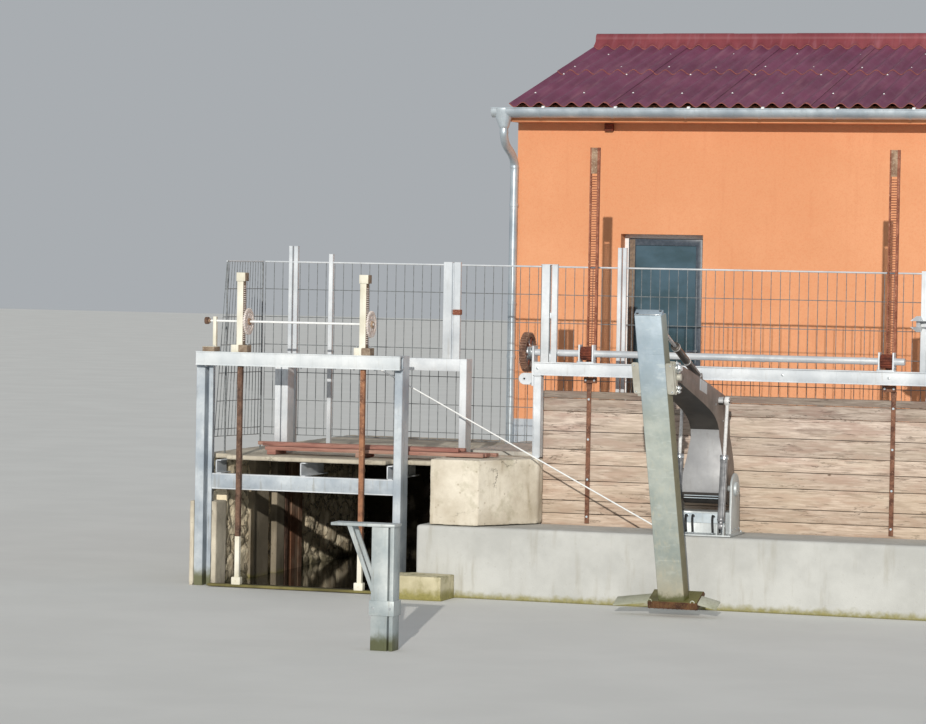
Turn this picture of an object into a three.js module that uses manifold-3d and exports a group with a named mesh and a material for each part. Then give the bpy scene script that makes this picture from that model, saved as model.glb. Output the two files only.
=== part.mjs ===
// Small hydropower station: a stuccoed powerhouse and its intake works.
// Millimetres, +Z up, X along the intake (right when seen from the water), Y from the water towards the house.
// The lengths below are measured from the left end of the breast wall's front edge at the water surface;
// the whole plant is then shifted so that its origin is the middle of the breast wall's underside.
import * as THREE from 'three';
import { mergeVertices } from 'three/addons/utils/BufferGeometryUtils.js';
import Module from 'manifold-3d';

const wasm = await Module();
wasm.setup();

// Driving dimensions
const GATE_CENTRE = 2700; // centreline of the main gate, which mirrors the intake
const PLAY = 0.3; // gap kept between pieces that touch in turned places
const WALL = { left: -495, depth: 860, top: 745 };
const PIER = { left: -358, corner: 174, nib: 620, nibFront: 680, nibBack: 870, inner: 575, back: 1150, top: 1437 };
const DECK = { back: 3350, under: 1320, top: 1470 };
const HOUSE = { left: -520, right: 5920, front: 3350, back: 9600, wall: 300, ground: 1470 };
const ROOF = { eave: 3020, ridge: 6475, eaveTop: 5273, ridgeTop: 6113, thick: 110, verge: 10 };
const WAVE = { pitch: 189.6, swell: 27, steps: 6, crest: -371 };
const DOOR = { left: 702, right: 1643, top: 3811, frameFront: 3520, frameBack: 3590, member: 45, stile: 70 };
const GATE = { left: 590, front: 883, back: 995, bottom: 700, top: 2142 };
const BEAM = { left: 535, front: 680, back: 800, bottom: 2303, top: 2443 };
const SHAFT = { y: 765, z: 2541, r: 36, left: 395, right: 4451, pinion: 72 };
const RACK = { left: 1066, width: 104, front: 837.3, back: 878, top: 4690, spacing: 3170 };
const ARM = { x: 2500, half: 150, flare: 225, pivot: [420, 1212], tip: [-1420, 2440], lean: 20.86 };
const LIFT = { reach: 235, foot: [90, 850], head: [265, 2110], barrel: 39, rod: 18, bore: 21.5, barrelLength: 720 };
const TILT = { foot: [-35, 2367], head: [-1650, 2930], barrel: 38, rod: 17, bore: 20.5, barrelLength: 974 };
const SLUICE = { left: -2980, right: -672, top: 2483, beamBottom: 2338, stems: [-2466, -1092], shaftY: 30, shaftZ: 2805 };
const CHANNEL = { left: -2725, wallFront: 300, back: 4600, under: 1337, deckTop: 1394 };
const FENCE = { y: 1200, bottom: 1560, top: 3445, bar: 12 };
const GUIDE = { x: 935, y: -4955, top: 1110 };

// Materials
const material = (color, roughness, metalness = 0) =>
  new THREE.MeshStandardMaterial({ color, roughness, metalness });
const STUCCO = material(0xe8a273, 0.9);
const CONCRETE = material(0xc9c5ba, 0.9);
const ROCK = material(0x8f8874, 0.95);
const FIBRE_CEMENT = material(0x5e2238, 0.7);
const ZINC = material(0xa9b2b6, 0.45, 0.6);
const GALVANISED = material(0xc4cfd3, 0.45, 0.6);
const LIGHT_STEEL = material(0xe4e9ea, 0.5, 0.2);
const RUST = material(0x7a4230, 0.85, 0.2);
const TIMBER = material(0xa58d74, 0.85);
const ARM_GREY = material(0x8a8480, 0.5, 0.4);
const CREAM = material(0xd9d2bd, 0.6);
const WHITE_FRAME = material(0xe9ebea, 0.4);
const GLASS = material(0x1c2733, 0.08);

// Shapes
function box(x0, x1, y0, y1, z0, z1) {
  const geometry = new THREE.BoxGeometry(x1 - x0, y1 - y0, z1 - z0);
  return geometry.translate((x0 + x1) / 2, (y0 + y1) / 2, (z0 + z1) / 2);
}

function outline(points, holes = []) {
  const shape = new THREE.Shape(points.map(([u, v]) => new THREE.Vector2(u, v)));
  for (const hole of holes) {
    shape.holes.push(new THREE.Path(hole.map(([u, v]) => new THREE.Vector2(u, v))));
  }
  return shape;
}

function extruded(shape, depth) {
  return new THREE.ExtrudeGeometry(shape, { depth, steps: 1, bevelEnabled: false });
}

// An outline in Y and Z, drawn out along X
function alongX(points, x0, x1, holes) {
  const turn = new THREE.Matrix4().makeBasis(
    new THREE.Vector3(0, 1, 0), new THREE.Vector3(0, 0, 1), new THREE.Vector3(1, 0, 0));
  return extruded(outline(points, holes), x1 - x0).applyMatrix4(turn).translate(x0, 0, 0);
}

// An outline in X and Z, drawn out along Y
function alongY(points, y0, y1, holes) {
  const turn = new THREE.Matrix4().makeBasis(
    new THREE.Vector3(1, 0, 0), new THREE.Vector3(0, 0, 1), new THREE.Vector3(0, -1, 0));
  return extruded(outline(points, holes), y1 - y0).applyMatrix4(turn).translate(0, y1, 0);
}

// An outline in X and Y, drawn upwards
function upright(points, z0, z1, holes) {
  return extruded(outline(points, holes), z1 - z0).translate(0, 0, z0);
}

function arc(centre, radius, fromDegrees, toDegrees, steps) {
  return Array.from({ length: steps + 1 }, (_, i) => {
    const angle = THREE.MathUtils.degToRad(fromDegrees + (toDegrees - fromDegrees) * i / steps);
    return [centre[0] + radius * Math.cos(angle), centre[1] + radius * Math.sin(angle)];
  });
}

const circle = (centre, radius, steps = 24) => arc(centre, radius, 0, 360, steps).slice(0, -1);

const discX = (centre, radius, x0, x1, steps = 24) => alongX(circle(centre, radius, steps), x0, x1);

// A hole's polygon stands outside its circle, so that a pin of the same number of sides turns in it
const holeRadius = (radius, steps = 24) => radius / Math.cos(Math.PI / steps);

const rectangle = (u0, u1, v0, v1) => [[u0, v0], [u1, v0], [u1, v1], [u0, v1]];

const mirrored = (points) => points.map(([x, v]) => [2 * GATE_CENTRE - x, v]).reverse();

// Joins and cuts
function solid(geometry) {
  const bare = geometry.clone();
  bare.deleteAttribute('normal');
  bare.deleteAttribute('uv');
  const merged = mergeVertices(bare, 1e-4);
  const mesh = new wasm.Mesh({
    numProp: 3,
    vertProperties: new Float32Array(merged.attributes.position.array),
    triVerts: new Uint32Array(merged.index.array),
  });
  return new wasm.Manifold(mesh);
}

function surface(manifold) {
  const mesh = manifold.getMesh();
  const geometry = new THREE.BufferGeometry();
  geometry.setAttribute('position', new THREE.BufferAttribute(new Float32Array(mesh.vertProperties), 3));
  geometry.setIndex(new THREE.BufferAttribute(new Uint32Array(mesh.triVerts), 1));
  return geometry;
}

const fuse = (...pieces) => surface(pieces.map(solid).reduce((sum, piece) => sum.add(piece)));

const cut = (piece, ...tools) => surface(tools.map(solid).reduce((rest, tool) => rest.subtract(tool), solid(piece)));

const common = (a, b) => surface(solid(a).intersect(solid(b)));

const plant = new THREE.Group();
plant.position.set(-GATE_CENTRE, -WALL.depth / 2, 0);

function piece(name, geometry, finish, parent = plant) {
  const mesh = new THREE.Mesh(geometry, finish);
  mesh.name = name;
  parent.add(mesh);
  return mesh;
}

// Powerhouse
const roofRise = (ROOF.ridgeTop - ROOF.eaveTop) / (ROOF.ridge - ROOF.eave);

function roofUnderside(y) {
  const run = y < ROOF.ridge ? y - ROOF.eave : 2 * ROOF.ridge - ROOF.eave - y;
  return ROOF.eaveTop - ROOF.thick + roofRise * run - PLAY;
}

function houseWalls() {
  const { left, right, front, back, wall, ground } = HOUSE;
  const inner = front + wall;
  const slopedTop = (bottom) => [
    [front, bottom], [inner, bottom], [inner, roofUnderside(inner)], [front, roofUnderside(front)],
  ];
  piece('front_wall_left', alongX(slopedTop(ground), left + wall, DOOR.left), STUCCO);
  piece('front_wall_right', alongX(slopedTop(ground), DOOR.right, right - wall), STUCCO);
  piece('front_wall_over_door', alongX(slopedTop(DOOR.top), DOOR.left, DOOR.right), STUCCO);
  const rear = back - wall;
  piece('back_wall', alongX([
    [rear, ground], [back, ground], [back, roofUnderside(back)], [rear, roofUnderside(rear)],
  ], left + wall, right - wall), STUCCO);
  const gable = [
    [front, ground], [back, ground], [back, roofUnderside(back)],
    [ROOF.ridge, roofUnderside(ROOF.ridge)], [front, roofUnderside(front)],
  ];
  piece('left_gable_wall', alongX(gable, left, left + wall), STUCCO);
  piece('right_gable_wall', alongX(gable, right - wall, right), STUCCO);
}

function houseBase() {
  const { left, right, front, back, wall } = HOUSE;
  const inside = rectangle(left + wall, right - wall, front + wall, back - wall);
  piece('house_base', upright(rectangle(left, right, front, back), 0, DECK.under, [inside]), CONCRETE);
  piece('house_floor', box(left, right, front, back, DECK.under, DECK.top), CONCRETE);
}

// The roofing's crests and hollows across the eave, from right to left
function corrugations(x0, x1) {
  const { pitch, swell, steps, crest } = WAVE;
  const step = pitch / steps;
  const first = Math.floor((x1 - crest) / step);
  const last = Math.ceil((x0 - crest) / step);
  const inner = Array.from({ length: first - last + 1 }, (_, i) => crest + (first - i) * step);
  return [x1, ...inner, x0].map((x) => [
    x, ROOF.eaveTop - swell + swell * Math.cos(2 * Math.PI * (x - crest) / pitch),
  ]);
}

function roof() {
  const x0 = HOUSE.left - ROOF.verge;
  const x1 = HOUSE.right + ROOF.verge;
  const { eave, ridge, eaveTop, ridgeTop, thick } = ROOF;
  const section = [[x0, eaveTop - thick], [x1, eaveTop - thick], ...corrugations(x0, x1)];
  // A level sheet from y0 to y1 is sheared to climb by the rise from the eave at yLow
  const slope = (y0, y1, yLow, rise) => alongY(section, y0, y1).applyMatrix4(new THREE.Matrix4().set(
    1, 0, 0, 0, 0, 1, 0, 0, 0, rise, 1, -rise * yLow, 0, 0, 0, 1));
  const rear = 2 * ridge - eave;
  const soffit = { front: 3036, bottom: 5040 };
  piece('eave_soffit', alongX([
    [soffit.front, soffit.bottom], [HOUSE.front, soffit.bottom], [HOUSE.front, roofUnderside(HOUSE.front)],
    [soffit.front, roofUnderside(soffit.front)],
  ], HOUSE.left, HOUSE.right), STUCCO);
  piece('roof_front', slope(eave, ridge - PLAY / 2, eave, roofRise), FIBRE_CEMENT);
  piece('roof_back', slope(ridge + PLAY / 2, rear, rear, -roofRise), FIBRE_CEMENT);
  const capHalf = 240;
  const capThick = 20;
  const capTop = ridgeTop + PLAY + capThick;
  const drop = capHalf * roofRise;
  const roll = arc([ridge, capTop + 35], 70, -20, 200, 8);
  piece('ridge_cap', alongX([
    [ridge - capHalf, capTop - drop - capThick], [ridge, capTop - capThick], [ridge + capHalf, capTop - drop - capThick],
    [ridge + capHalf, capTop - drop], [ridge + 75, capTop - 10], ...roll, [ridge - 75, capTop - 10],
    [ridge - capHalf, capTop - drop],
  ], x0, x1), FIBRE_CEMENT);
}

const GUTTER = { y: 2940, z: 5160, r: 80, wall: 5, flange: 32, left: -690, right: 5960, outletX: -560, pipeX: -541 };

function gutterAndPipe() {
  const { y, z, r, wall, flange, left, right, outletX, pipeX } = GUTTER;
  const flangeTop = z + flange;
  const body = alongX([...arc([y, z], r, 180, 360, 12), [y + r, flangeTop], [y + r - wall, flangeTop],
    [y + r - wall, z], [y - r + wall, z]], left, right);
  const inside = alongX([[y - r + wall, z + 5], ...arc([y, z], r - wall, 180, 360, 12), [y + r - wall, z + 5]],
    left + wall, right - wall);
  const shell = cut(body, inside);
  const funnelTop = z - r;
  const hopper = { low: 110, high: 70, neck: 56, mouth: 97, widening: 0.26 };
  const height = hopper.low + hopper.high;
  const funnel = new THREE.LatheGeometry([
    new THREE.Vector2(0, 0), new THREE.Vector2(hopper.neck, 0), new THREE.Vector2(hopper.mouth, height),
    new THREE.Vector2(0, height),
  ], 16);
  const corners = funnel.attributes.position;
  for (let i = 0; i < corners.count; i += 1) {
    corners.setX(i, corners.getX(i) * (1 + hopper.widening * corners.getY(i) / height));
  }
  funnel.rotateX(Math.PI / 2);
  funnel.translate(outletX, y, funnelTop - hopper.low);
  const outlet = cut(funnel, discX([y, z], r + PLAY, left, right, 24));
  const pipeY = HOUSE.front - 50;
  const pipeR = 46;
  const route = new THREE.CatmullRomCurve3([
    [outletX, y, funnelTop - 105], [outletX, y, funnelTop - 190], [outletX, y + 90, funnelTop - 300],
    [pipeX, pipeY - 90, funnelTop - 410], [pipeX, pipeY, funnelTop - 520], [pipeX, pipeY, funnelTop - 700],
  ].map((point) => new THREE.Vector3(...point)), false, 'centripetal');
  const section = new THREE.Shape(circle([0, 0], pipeR, 10).map(([u, v]) => new THREE.Vector2(u, v)));
  const neck = new THREE.ExtrudeGeometry(section, { steps: 14, extrudePath: route, bevelEnabled: false });
  const drop = new THREE.CylinderGeometry(pipeR, pipeR, funnelTop - 660, 10);
  drop.rotateX(Math.PI / 2);
  drop.translate(pipeX, pipeY, (funnelTop - 660) / 2);
  piece('gutter', shell, ZINC);
  piece('downpipe', fuse(outlet, neck, drop), ZINC);
}

function door() {
  const { left, right, top, frameFront, frameBack, member, stile } = DOOR;
  const sill = HOUSE.ground + 30;
  const openingLeft = left + member;
  const openingRight = right - member;
  const openingTop = top - member;
  const leafLeft = openingLeft + 5;
  const hinge = [leafLeft - 3, frameBack + 10];
  const hingeHeights = [1640, 2580, 3520].map((z) => [z, z + 90]);
  const hingePins = hingeHeights.flatMap(([z0, z1]) => [
    box(hinge[0] - 14, hinge[0], frameBack - 1, hinge[1] - 3, z0, z1), upright(circle(hinge, 6, 12), z0, z1),
  ]);
  piece('door_frame', fuse(alongY(rectangle(left, right, HOUSE.ground, top), frameFront, frameBack,
    [rectangle(openingLeft, openingRight, sill, openingTop)]), ...hingePins), WHITE_FRAME);
  const leafRight = openingRight - 8;
  const leafBottom = sill + 6;
  const leafTop = openingTop - 6;
  const paneOutline = [leafLeft + stile, leafRight - stile, leafBottom + stile, leafTop - stile];
  const frontFace = frameFront + 10;
  const leaf = alongY(rectangle(leafLeft, leafRight, leafBottom, leafTop), frontFace, frameBack,
    [rectangle(...paneOutline)]);
  const handleX = leafRight - stile / 2;
  const handleZ = HOUSE.ground + 1050;
  const spindle = box(handleX - 10, handleX + 10, frontFace - 45, frontFace + 5, handleZ - 10, handleZ + 10);
  const lever = box(handleX - 120, handleX + 12, frontFace - 60, frontFace - 42, handleZ - 11, handleZ + 11);
  const hingePlates = hingeHeights.map(([z0, z1]) =>
    box(hinge[0] + 6 + PLAY, hinge[0] + 26, frameBack - 1, hinge[1] + 6, z0, z1));
  piece('door_leaf', fuse(leaf, spindle, lever, ...hingePlates), WHITE_FRAME);
  const [paneLeft, paneRight, paneBottom, paneTop] = paneOutline;
  piece('door_glass', box(paneLeft + PLAY, paneRight - PLAY, frontFace + 18, frontFace + 42,
    paneBottom + PLAY, paneTop - PLAY), GLASS);
}

// Concrete of the intake
function intakeConcrete() {
  const right = 2 * GATE_CENTRE - WALL.left;
  piece('breast_wall', box(WALL.left, right, 0, WALL.depth, 0, WALL.top), CONCRETE);
  const head = [
    [PIER.left, 0], [PIER.corner, 0], [PIER.nib, PIER.nibFront], [PIER.nib, PIER.nibBack],
    [PIER.inner, PIER.nibBack], [PIER.inner, PIER.back], [PIER.left, PIER.back],
  ];
  const flank = rectangle(PIER.left, PIER.inner, WALL.depth, DECK.back);
  piece('left_pier', fuse(upright(head, WALL.top, PIER.top), upright(flank, 0, DECK.under)), CONCRETE);
  piece('right_pier', fuse(upright(mirrored(head), WALL.top, PIER.top),
    upright(mirrored(flank), 0, DECK.under)), CONCRETE);
  piece('channel_deck', box(PIER.left, 2 * GATE_CENTRE - PIER.left, PIER.back, DECK.back, DECK.under, DECK.top),
    CONCRETE);
  const plinth = new THREE.Group();
  plant.add(plinth);
  piece('front_plinth', box(-660, -60, -450, 0, 0, 251), CONCRETE, plinth);
}

// Main gate and its rack hoist
function mainGate() {
  const right = 2 * GATE_CENTRE - GATE.left;
  piece('timber_gate', box(GATE.left, right, GATE.front, GATE.back, GATE.bottom, GATE.top), TIMBER);
  for (const [side, shift, strapShift] of [['left', 0, 26], ['right', RACK.spacing, 84]]) {
    const x = RACK.left + shift;
    const rack = box(x, x + RACK.width, RACK.front, RACK.back, 2290, RACK.top);
    const shoe = box(x - 26, x + RACK.width + 5, RACK.front, GATE.front, 2230, 2330);
    const strapX = x + strapShift;
    const strap = box(strapX - 23, strapX + 23, GATE.front - 16, GATE.front, GATE.bottom + 60, 2240);
    piece(`${side}_rack`, fuse(rack, shoe, strap), RUST);
  }
}

function doublePost(x) {
  return [
    box(x, x + 98, BEAM.front, BEAM.front + 45, BEAM.top - 1, 3465),
    box(x + 113, x + 175, BEAM.front + 5, BEAM.front + 48, BEAM.top - 1, 3465),
  ];
}

function hoist() {
  const right = 2 * GATE_CENTRE - BEAM.left;
  const shaftCentre = [SHAFT.y, SHAFT.z];
  const beam = box(BEAM.left, right, BEAM.front, BEAM.back, BEAM.bottom, BEAM.top);
  const endPlate = alongX(rectangle(690, 840, 2190, 2610), BEAM.left - 20, BEAM.left,
    [circle(shaftCentre, holeRadius(SHAFT.r + PLAY))]);
  const lugCentre = [420, 2262];
  const lug = alongY([...arc(lugCentre, 62, 90, 270, 10), [BEAM.left - 19, 2200], [BEAM.left - 19, 2324]],
    748, 772, [circle(lugCentre, 20, 12)]);
  const leftPosts = doublePost(607);
  const rightPosts = doublePost(2 * GATE_CENTRE - 782);
  piece('hoist_beam', fuse(beam, endPlate, lug, ...leftPosts, ...rightPosts), LIGHT_STEEL);
  piece('left_gate_post', box(BEAM.left + 1, PIER.nib, 690, 790, PIER.top, BEAM.bottom), LIGHT_STEEL);
  piece('right_gate_post', box(2 * GATE_CENTRE - PIER.nib, 2 * GATE_CENTRE - BEAM.left - 1, 690, 790,
    PIER.top, BEAM.bottom), LIGHT_STEEL);

  const spindle = discX(shaftCentre, SHAFT.r, SHAFT.left, SHAFT.right);
  const pinions = [0, RACK.spacing].map((shift) =>
    discX(shaftCentre, SHAFT.pinion, 1035 + shift, 1157 + shift));
  piece('hoist_shaft', fuse(spindle, ...pinions), GALVANISED);
  for (const [side, shift] of [['left', 0], ['right', RACK.spacing]]) {
    const upright1 = alongX(rectangle(705, 814, BEAM.top, 2633), 1015 + shift, 1030 + shift,
      [circle(shaftCentre, holeRadius(SHAFT.r + PLAY))]);
    const upright2 = alongX(rectangle(705, 814, BEAM.top, 2633), 1162 + shift, 1177 + shift,
      [circle(shaftCentre, holeRadius(SHAFT.r + PLAY))]);
    const foot = box(1005 + shift, 1187 + shift, 690, 800, BEAM.top, BEAM.top + 12);
    piece(`${side}_shaft_bearing`, fuse(upright1, upright2, foot), LIGHT_STEEL);
  }
  gearWheel(shaftCentre);
}

function gearWheel(centre) {
  const teeth = 40;
  const tipRadius = 208;
  const rootRadius = 192;
  const profile = [];
  for (let i = 0; i < teeth; i += 1) {
    for (const [part, radius] of [[0, rootRadius], [0.3, rootRadius], [0.45, tipRadius], [0.85, tipRadius]]) {
      const angle = 2 * Math.PI * (i + part) / teeth;
      profile.push([centre[0] + radius * Math.cos(angle), centre[1] + radius * Math.sin(angle)]);
    }
  }
  const shaftHole = circle(centre, holeRadius(SHAFT.r + PLAY));
  const rim = alongX(profile, 412, 482, [shaftHole]);
  const hub = alongX(circle(centre, 48), 481, 505, [shaftHole]);
  piece('gear_wheel', fuse(rim, hub), RUST);
}

// Trash-rack cleaning arm
const S = ARM.tip;
const P = ARM.pivot;
const PIN = 30;

function armPedestal() {
  const top = WALL.top;
  const plate = box(2150, 2850, 30, 640, top, top + 15);
  const block = box(2219, 2781, 300, 620, top + 14, 975);
  const cheek = [[250, top + 14], [620, top + 14], ...arc(P, 160, 0, 180, 12)];
  const cheeks = [[2200, 2220], [2780, 2800]].map(([x0, x1]) => alongX(cheek, x0, x1));
  const pivotPin = discX(P, PIN, 2178, 2822);
  const pinHeads = [[2178, 2201], [2799, 2822]].map(([x0, x1]) => discX(P, 72, x0, x1));
  const pieces = [plate, block, ...cheeks, pivotPin, ...pinHeads];
  for (const side of [-1, 1]) {
    const x = ARM.x + side * LIFT.reach;
    const ear = [[50, top + 14], [130, top + 14], ...arc(LIFT.foot, 34, 0, 180, 10)];
    pieces.push(alongX(ear, x - 41, x - 27), alongX(ear, x + 27, x + 41));
    pieces.push(discX(LIFT.foot, 15, x - 48, x + 48, 16));
  }
  piece('arm_pedestal', fuse(...pieces), LIGHT_STEEL);
}

function armBoom() {
  const side = [
    ...arc(P, 160, 180, 350, 12),
    [640, 1300], [720, 1460], [738, 1640], [725, 1820], [690, 1980], [600, 2110], [470, 2165], [290, 2200],
    [-370, 2342], [-900, 2446], ...arc(S, 92, 78, 270, 12), [-1280, 2338], [-390, 2112], [-100, 2030],
    [80, 1965], [205, 1895], [280, 1815], [306, 1700], [298, 1520], [262, 1350],
  ];
  const front = [
    [-ARM.flare, 900], [ARM.flare, 900], [ARM.flare, 1330], [ARM.half, 1740], [ARM.half, 2700],
    [-ARM.half, 2700], [-ARM.half, 1740], [-ARM.flare, 1330],
  ].map(([x, z]) => [ARM.x + x, z]);
  const body = common(alongX(side, ARM.x - ARM.flare, ARM.x + ARM.flare), alongY(front, -1600, 800));
  const lug = [[-125, 2260], [55, 2200], ...arc(TILT.foot, 32, 0, 180, 10)];
  const lugs = [[-40, -26], [26, 40]].map(([a, b]) => alongX(lug, ARM.x + a, ARM.x + b));
  const lugPin = discX(TILT.foot, 15, ARM.x - 46, ARM.x + 46, 16);
  const headReach = LIFT.reach + 30;
  const headPin = discX(LIFT.head, LIFT.rod, ARM.x - headReach, ARM.x + headReach, 16);
  const headBoss = discX(LIFT.head, 42, ARM.x - 200, ARM.x + 200, 16);
  const whole = fuse(body, ...lugs, lugPin, headPin, headBoss);
  const holes = [
    discX(P, holeRadius(PIN + PLAY), ARM.x - 300, ARM.x + 300),
    discX(S, holeRadius(PIN + PLAY), ARM.x - 300, ARM.x + 300),
  ];
  piece('arm_boom', cut(whole, ...holes), ARM_GREY);
}

// The stick's pieces are drawn upright with its pivot at the origin, and lean with their group
const STICK = { front: -277.6, back: -197.6, top: 712, bottom: -2335 };

const HEAD = { height: 76 };

function armStick() {
  const group = new THREE.Group();
  group.position.set(ARM.x, S[0], S[1]);
  group.rotation.x = THREE.MathUtils.degToRad(ARM.lean);
  plant.add(group);

  const column = box(-150, 150, STICK.front, STICK.back, STICK.bottom, STICK.top);
  const headLocal = [-40.5, 539.8];
  const lug = [[STICK.back - 1, 470], ...arc(headLocal, 34, -90, 90, 10), [STICK.back - 1, 610]];
  const lugs = [[-40, -26], [26, 40]].map(([a, b]) => alongX(lug, a, b));
  const lugPin = discX(headLocal, TILT.rod, -46, 46, 16);
  piece('arm_stick', fuse(column, ...lugs, lugPin), GALVANISED, group);

  const plate = box(-232, 232, -127, -107, -165, 165);
  const spacer = box(-130, 130, STICK.back + PLAY, -126, -150, 150);
  const cheek = [[-108, -120], ...arc([0, 0], 75, -60, 60, 10), [-108, 120]];
  const cheeks = [[-175, -155], [155, 175]].map(([a, b]) => alongX(cheek, a, b));
  const pin = discX([0, 0], PIN, -232, 232);
  const bosses = [[-215, -174], [174, 215]].map(([a, b]) => discX([0, 0], 46, a, b));
  piece('stick_bracket', fuse(plate, spacer, ...cheeks, pin, ...bosses), GALVANISED, group);

  const headTop = STICK.bottom - PLAY;
  const head = alongX([
    [-305, headTop], [-30, headTop], [12, headTop - 45], [-60, headTop - HEAD.height], [-305, headTop - HEAD.height],
  ], -255, 255);
  const wing = (inner, outer) => alongY([
    [inner, headTop - 8], [inner, headTop - 34], [outer, headTop - HEAD.height + 2], [outer, headTop - HEAD.height + 16],
  ], -290, -110);
  piece('rake_head', fuse(head, wing(-250, -620), wing(250, 440)), GALVANISED, group);
}

// A hydraulic cylinder between two pins, drawn upright from its foot and aimed by its group
function cylinder(names, x, spec, rodStart, eyeWidth, slack) {
  const dy = spec.head[0] - spec.foot[0];
  const dz = spec.head[1] - spec.foot[1];
  const length = Math.hypot(dy, dz);
  const group = new THREE.Group();
  group.position.set(x, spec.foot[0], spec.foot[1]);
  group.rotation.x = -Math.atan2(dy, dz);
  plant.add(group);
  const round = (radius, z0, z1, steps = 24) =>
    new THREE.CylinderGeometry(radius, radius, z1 - z0, steps).rotateX(Math.PI / 2).translate(0, 0, (z0 + z1) / 2);
  const half = eyeWidth / 2;
  const eye = discX([0, 0], 34, -half, half);
  const tube = fuse(eye, round(half - 2, 0, 46), round(spec.barrel, 45, spec.barrelLength),
    round(spec.barrel + 6, spec.barrelLength - 44, spec.barrelLength));
  const gland = round(holeRadius(spec.rod + PLAY), 100, spec.barrelLength + 1);
  const barrel = cut(tube, discX([0, 0], holeRadius(15 + PLAY, 24), -60, 60),
    round(spec.bore, 120, spec.barrelLength - 40), gland);
  piece(names.barrel, barrel, ARM_GREY, group);
  const pinRadius = spec.rod;
  const ring = discX([0, length], pinRadius + slack + 18, -half, half);
  const rod = fuse(round(spec.rod, rodStart, length - pinRadius - slack - 4), ring);
  piece(names.rod, cut(rod, discX([0, length], pinRadius + slack, -60, 60)), GALVANISED, group);
}

function cylinders() {
  for (const [side, sign] of [['left', -1], ['right', 1]]) {
    cylinder({ barrel: `${side}_lift_barrel`, rod: `${side}_lift_rod` }, ARM.x + sign * LIFT.reach, LIFT, 570, 44, 9);
  }
  cylinder({ barrel: 'tilt_barrel', rod: 'tilt_rod' }, ARM.x, TILT, 774, 40, 16);
}

// Side sluice to the left of the main intake
function sluiceConcrete() {
  const postLeft = SLUICE.left - PLAY;
  const postRight = -2791 + PLAY;
  piece('left_abutment', upright([
    [-3040, -10], [postLeft, -10], [postLeft, 140 + PLAY], [postRight, 140 + PLAY], [postRight, -10],
    [CHANNEL.left, -10], [CHANNEL.left, CHANNEL.wallFront], [-3040, CHANNEL.wallFront],
  ], 0, 900), CONCRETE);
  const { left, wallFront, back, deckTop, under } = CHANNEL;
  const pipeSide = -600;
  const pipeFront = 3200;
  const beyondPier = [[PIER.left, pipeFront], [pipeSide, pipeFront]];
  piece('rubble_wall', box(-3040, left, wallFront + PLAY, back + 200, 0, under), ROCK);
  piece('channel_end_wall', box(left, pipeSide, back, back + 200, 0, under), CONCRETE);
  piece('channel_invert', upright([
    [left, 250], [-495, 250], [-495, 860], [PIER.left, 860], ...beyondPier, [pipeSide, back], [left, back],
  ], 0, 15), CONCRETE);
  piece('sluice_deck', fuse(upright([
    [-2990, 230], [PIER.left, 230], ...beyondPier, [pipeSide, back + 200], [-2990, back + 200],
  ], under, deckTop),
    box(-2642, -849, 20, 231, under, deckTop)), CONCRETE);
  piece('deck_boards', fuse(
    box(-2350, 200, 330, 650, PIER.top, 1482), box(-2500, -150, 400, 600, 1481, 1527),
    box(-2300, -2200, 330, 650, 1394, PIER.top + 1), box(-1300, -1200, 330, 650, 1394, PIER.top + 1)), RUST);
}

function sluiceFrames() {
  const { left, top, beamBottom, stems } = SLUICE;
  const leftPost = upright([
    [left, 0], [-2884, 0], [-2884, 120], [-2837, 120], [-2837, 0], [-2791, 0], [-2791, 16], [-2822, 16],
    [-2822, 140], [left, 140],
  ], 0, top);
  const rightPost = box(-758, SLUICE.right, 0, 220, 0, top);
  const topBeam = box(left - 5, SLUICE.right + 7, -110, 0, beamBottom, top);
  const lowerBeam = box(-2823, -757, 15, 100, 1029, 1193);
  const joists = [[-2755, 300], [-1800, 700], [-835, 900]].map(([x, y]) => box(x, x + 60, 20, y, 1192, 1337));
  const stemHoles = stems.map((x) => box(x - 34.5, x + 34.5, -74.5, -5.5, beamBottom - 10, top + 10));
  piece('sluice_front_frame', cut(fuse(leftPost, rightPost, topBeam, lowerBeam, ...joists), ...stemHoles),
    LIGHT_STEEL);
  const beamTop = 2450;
  piece('sluice_rear_frame', fuse(
    box(-2357, -2208, 680, 870, 1394, beamTop), box(-275, -198, 680, 870, PIER.top, beamTop),
    box(-2357, -198, 680, 800, 2319, beamTop), box(-473, -375, 680, 725, beamTop - 1, 3469),
    box(-356, -284, 685, 730, beamTop - 1, 3469)), LIGHT_STEEL);
}

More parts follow.
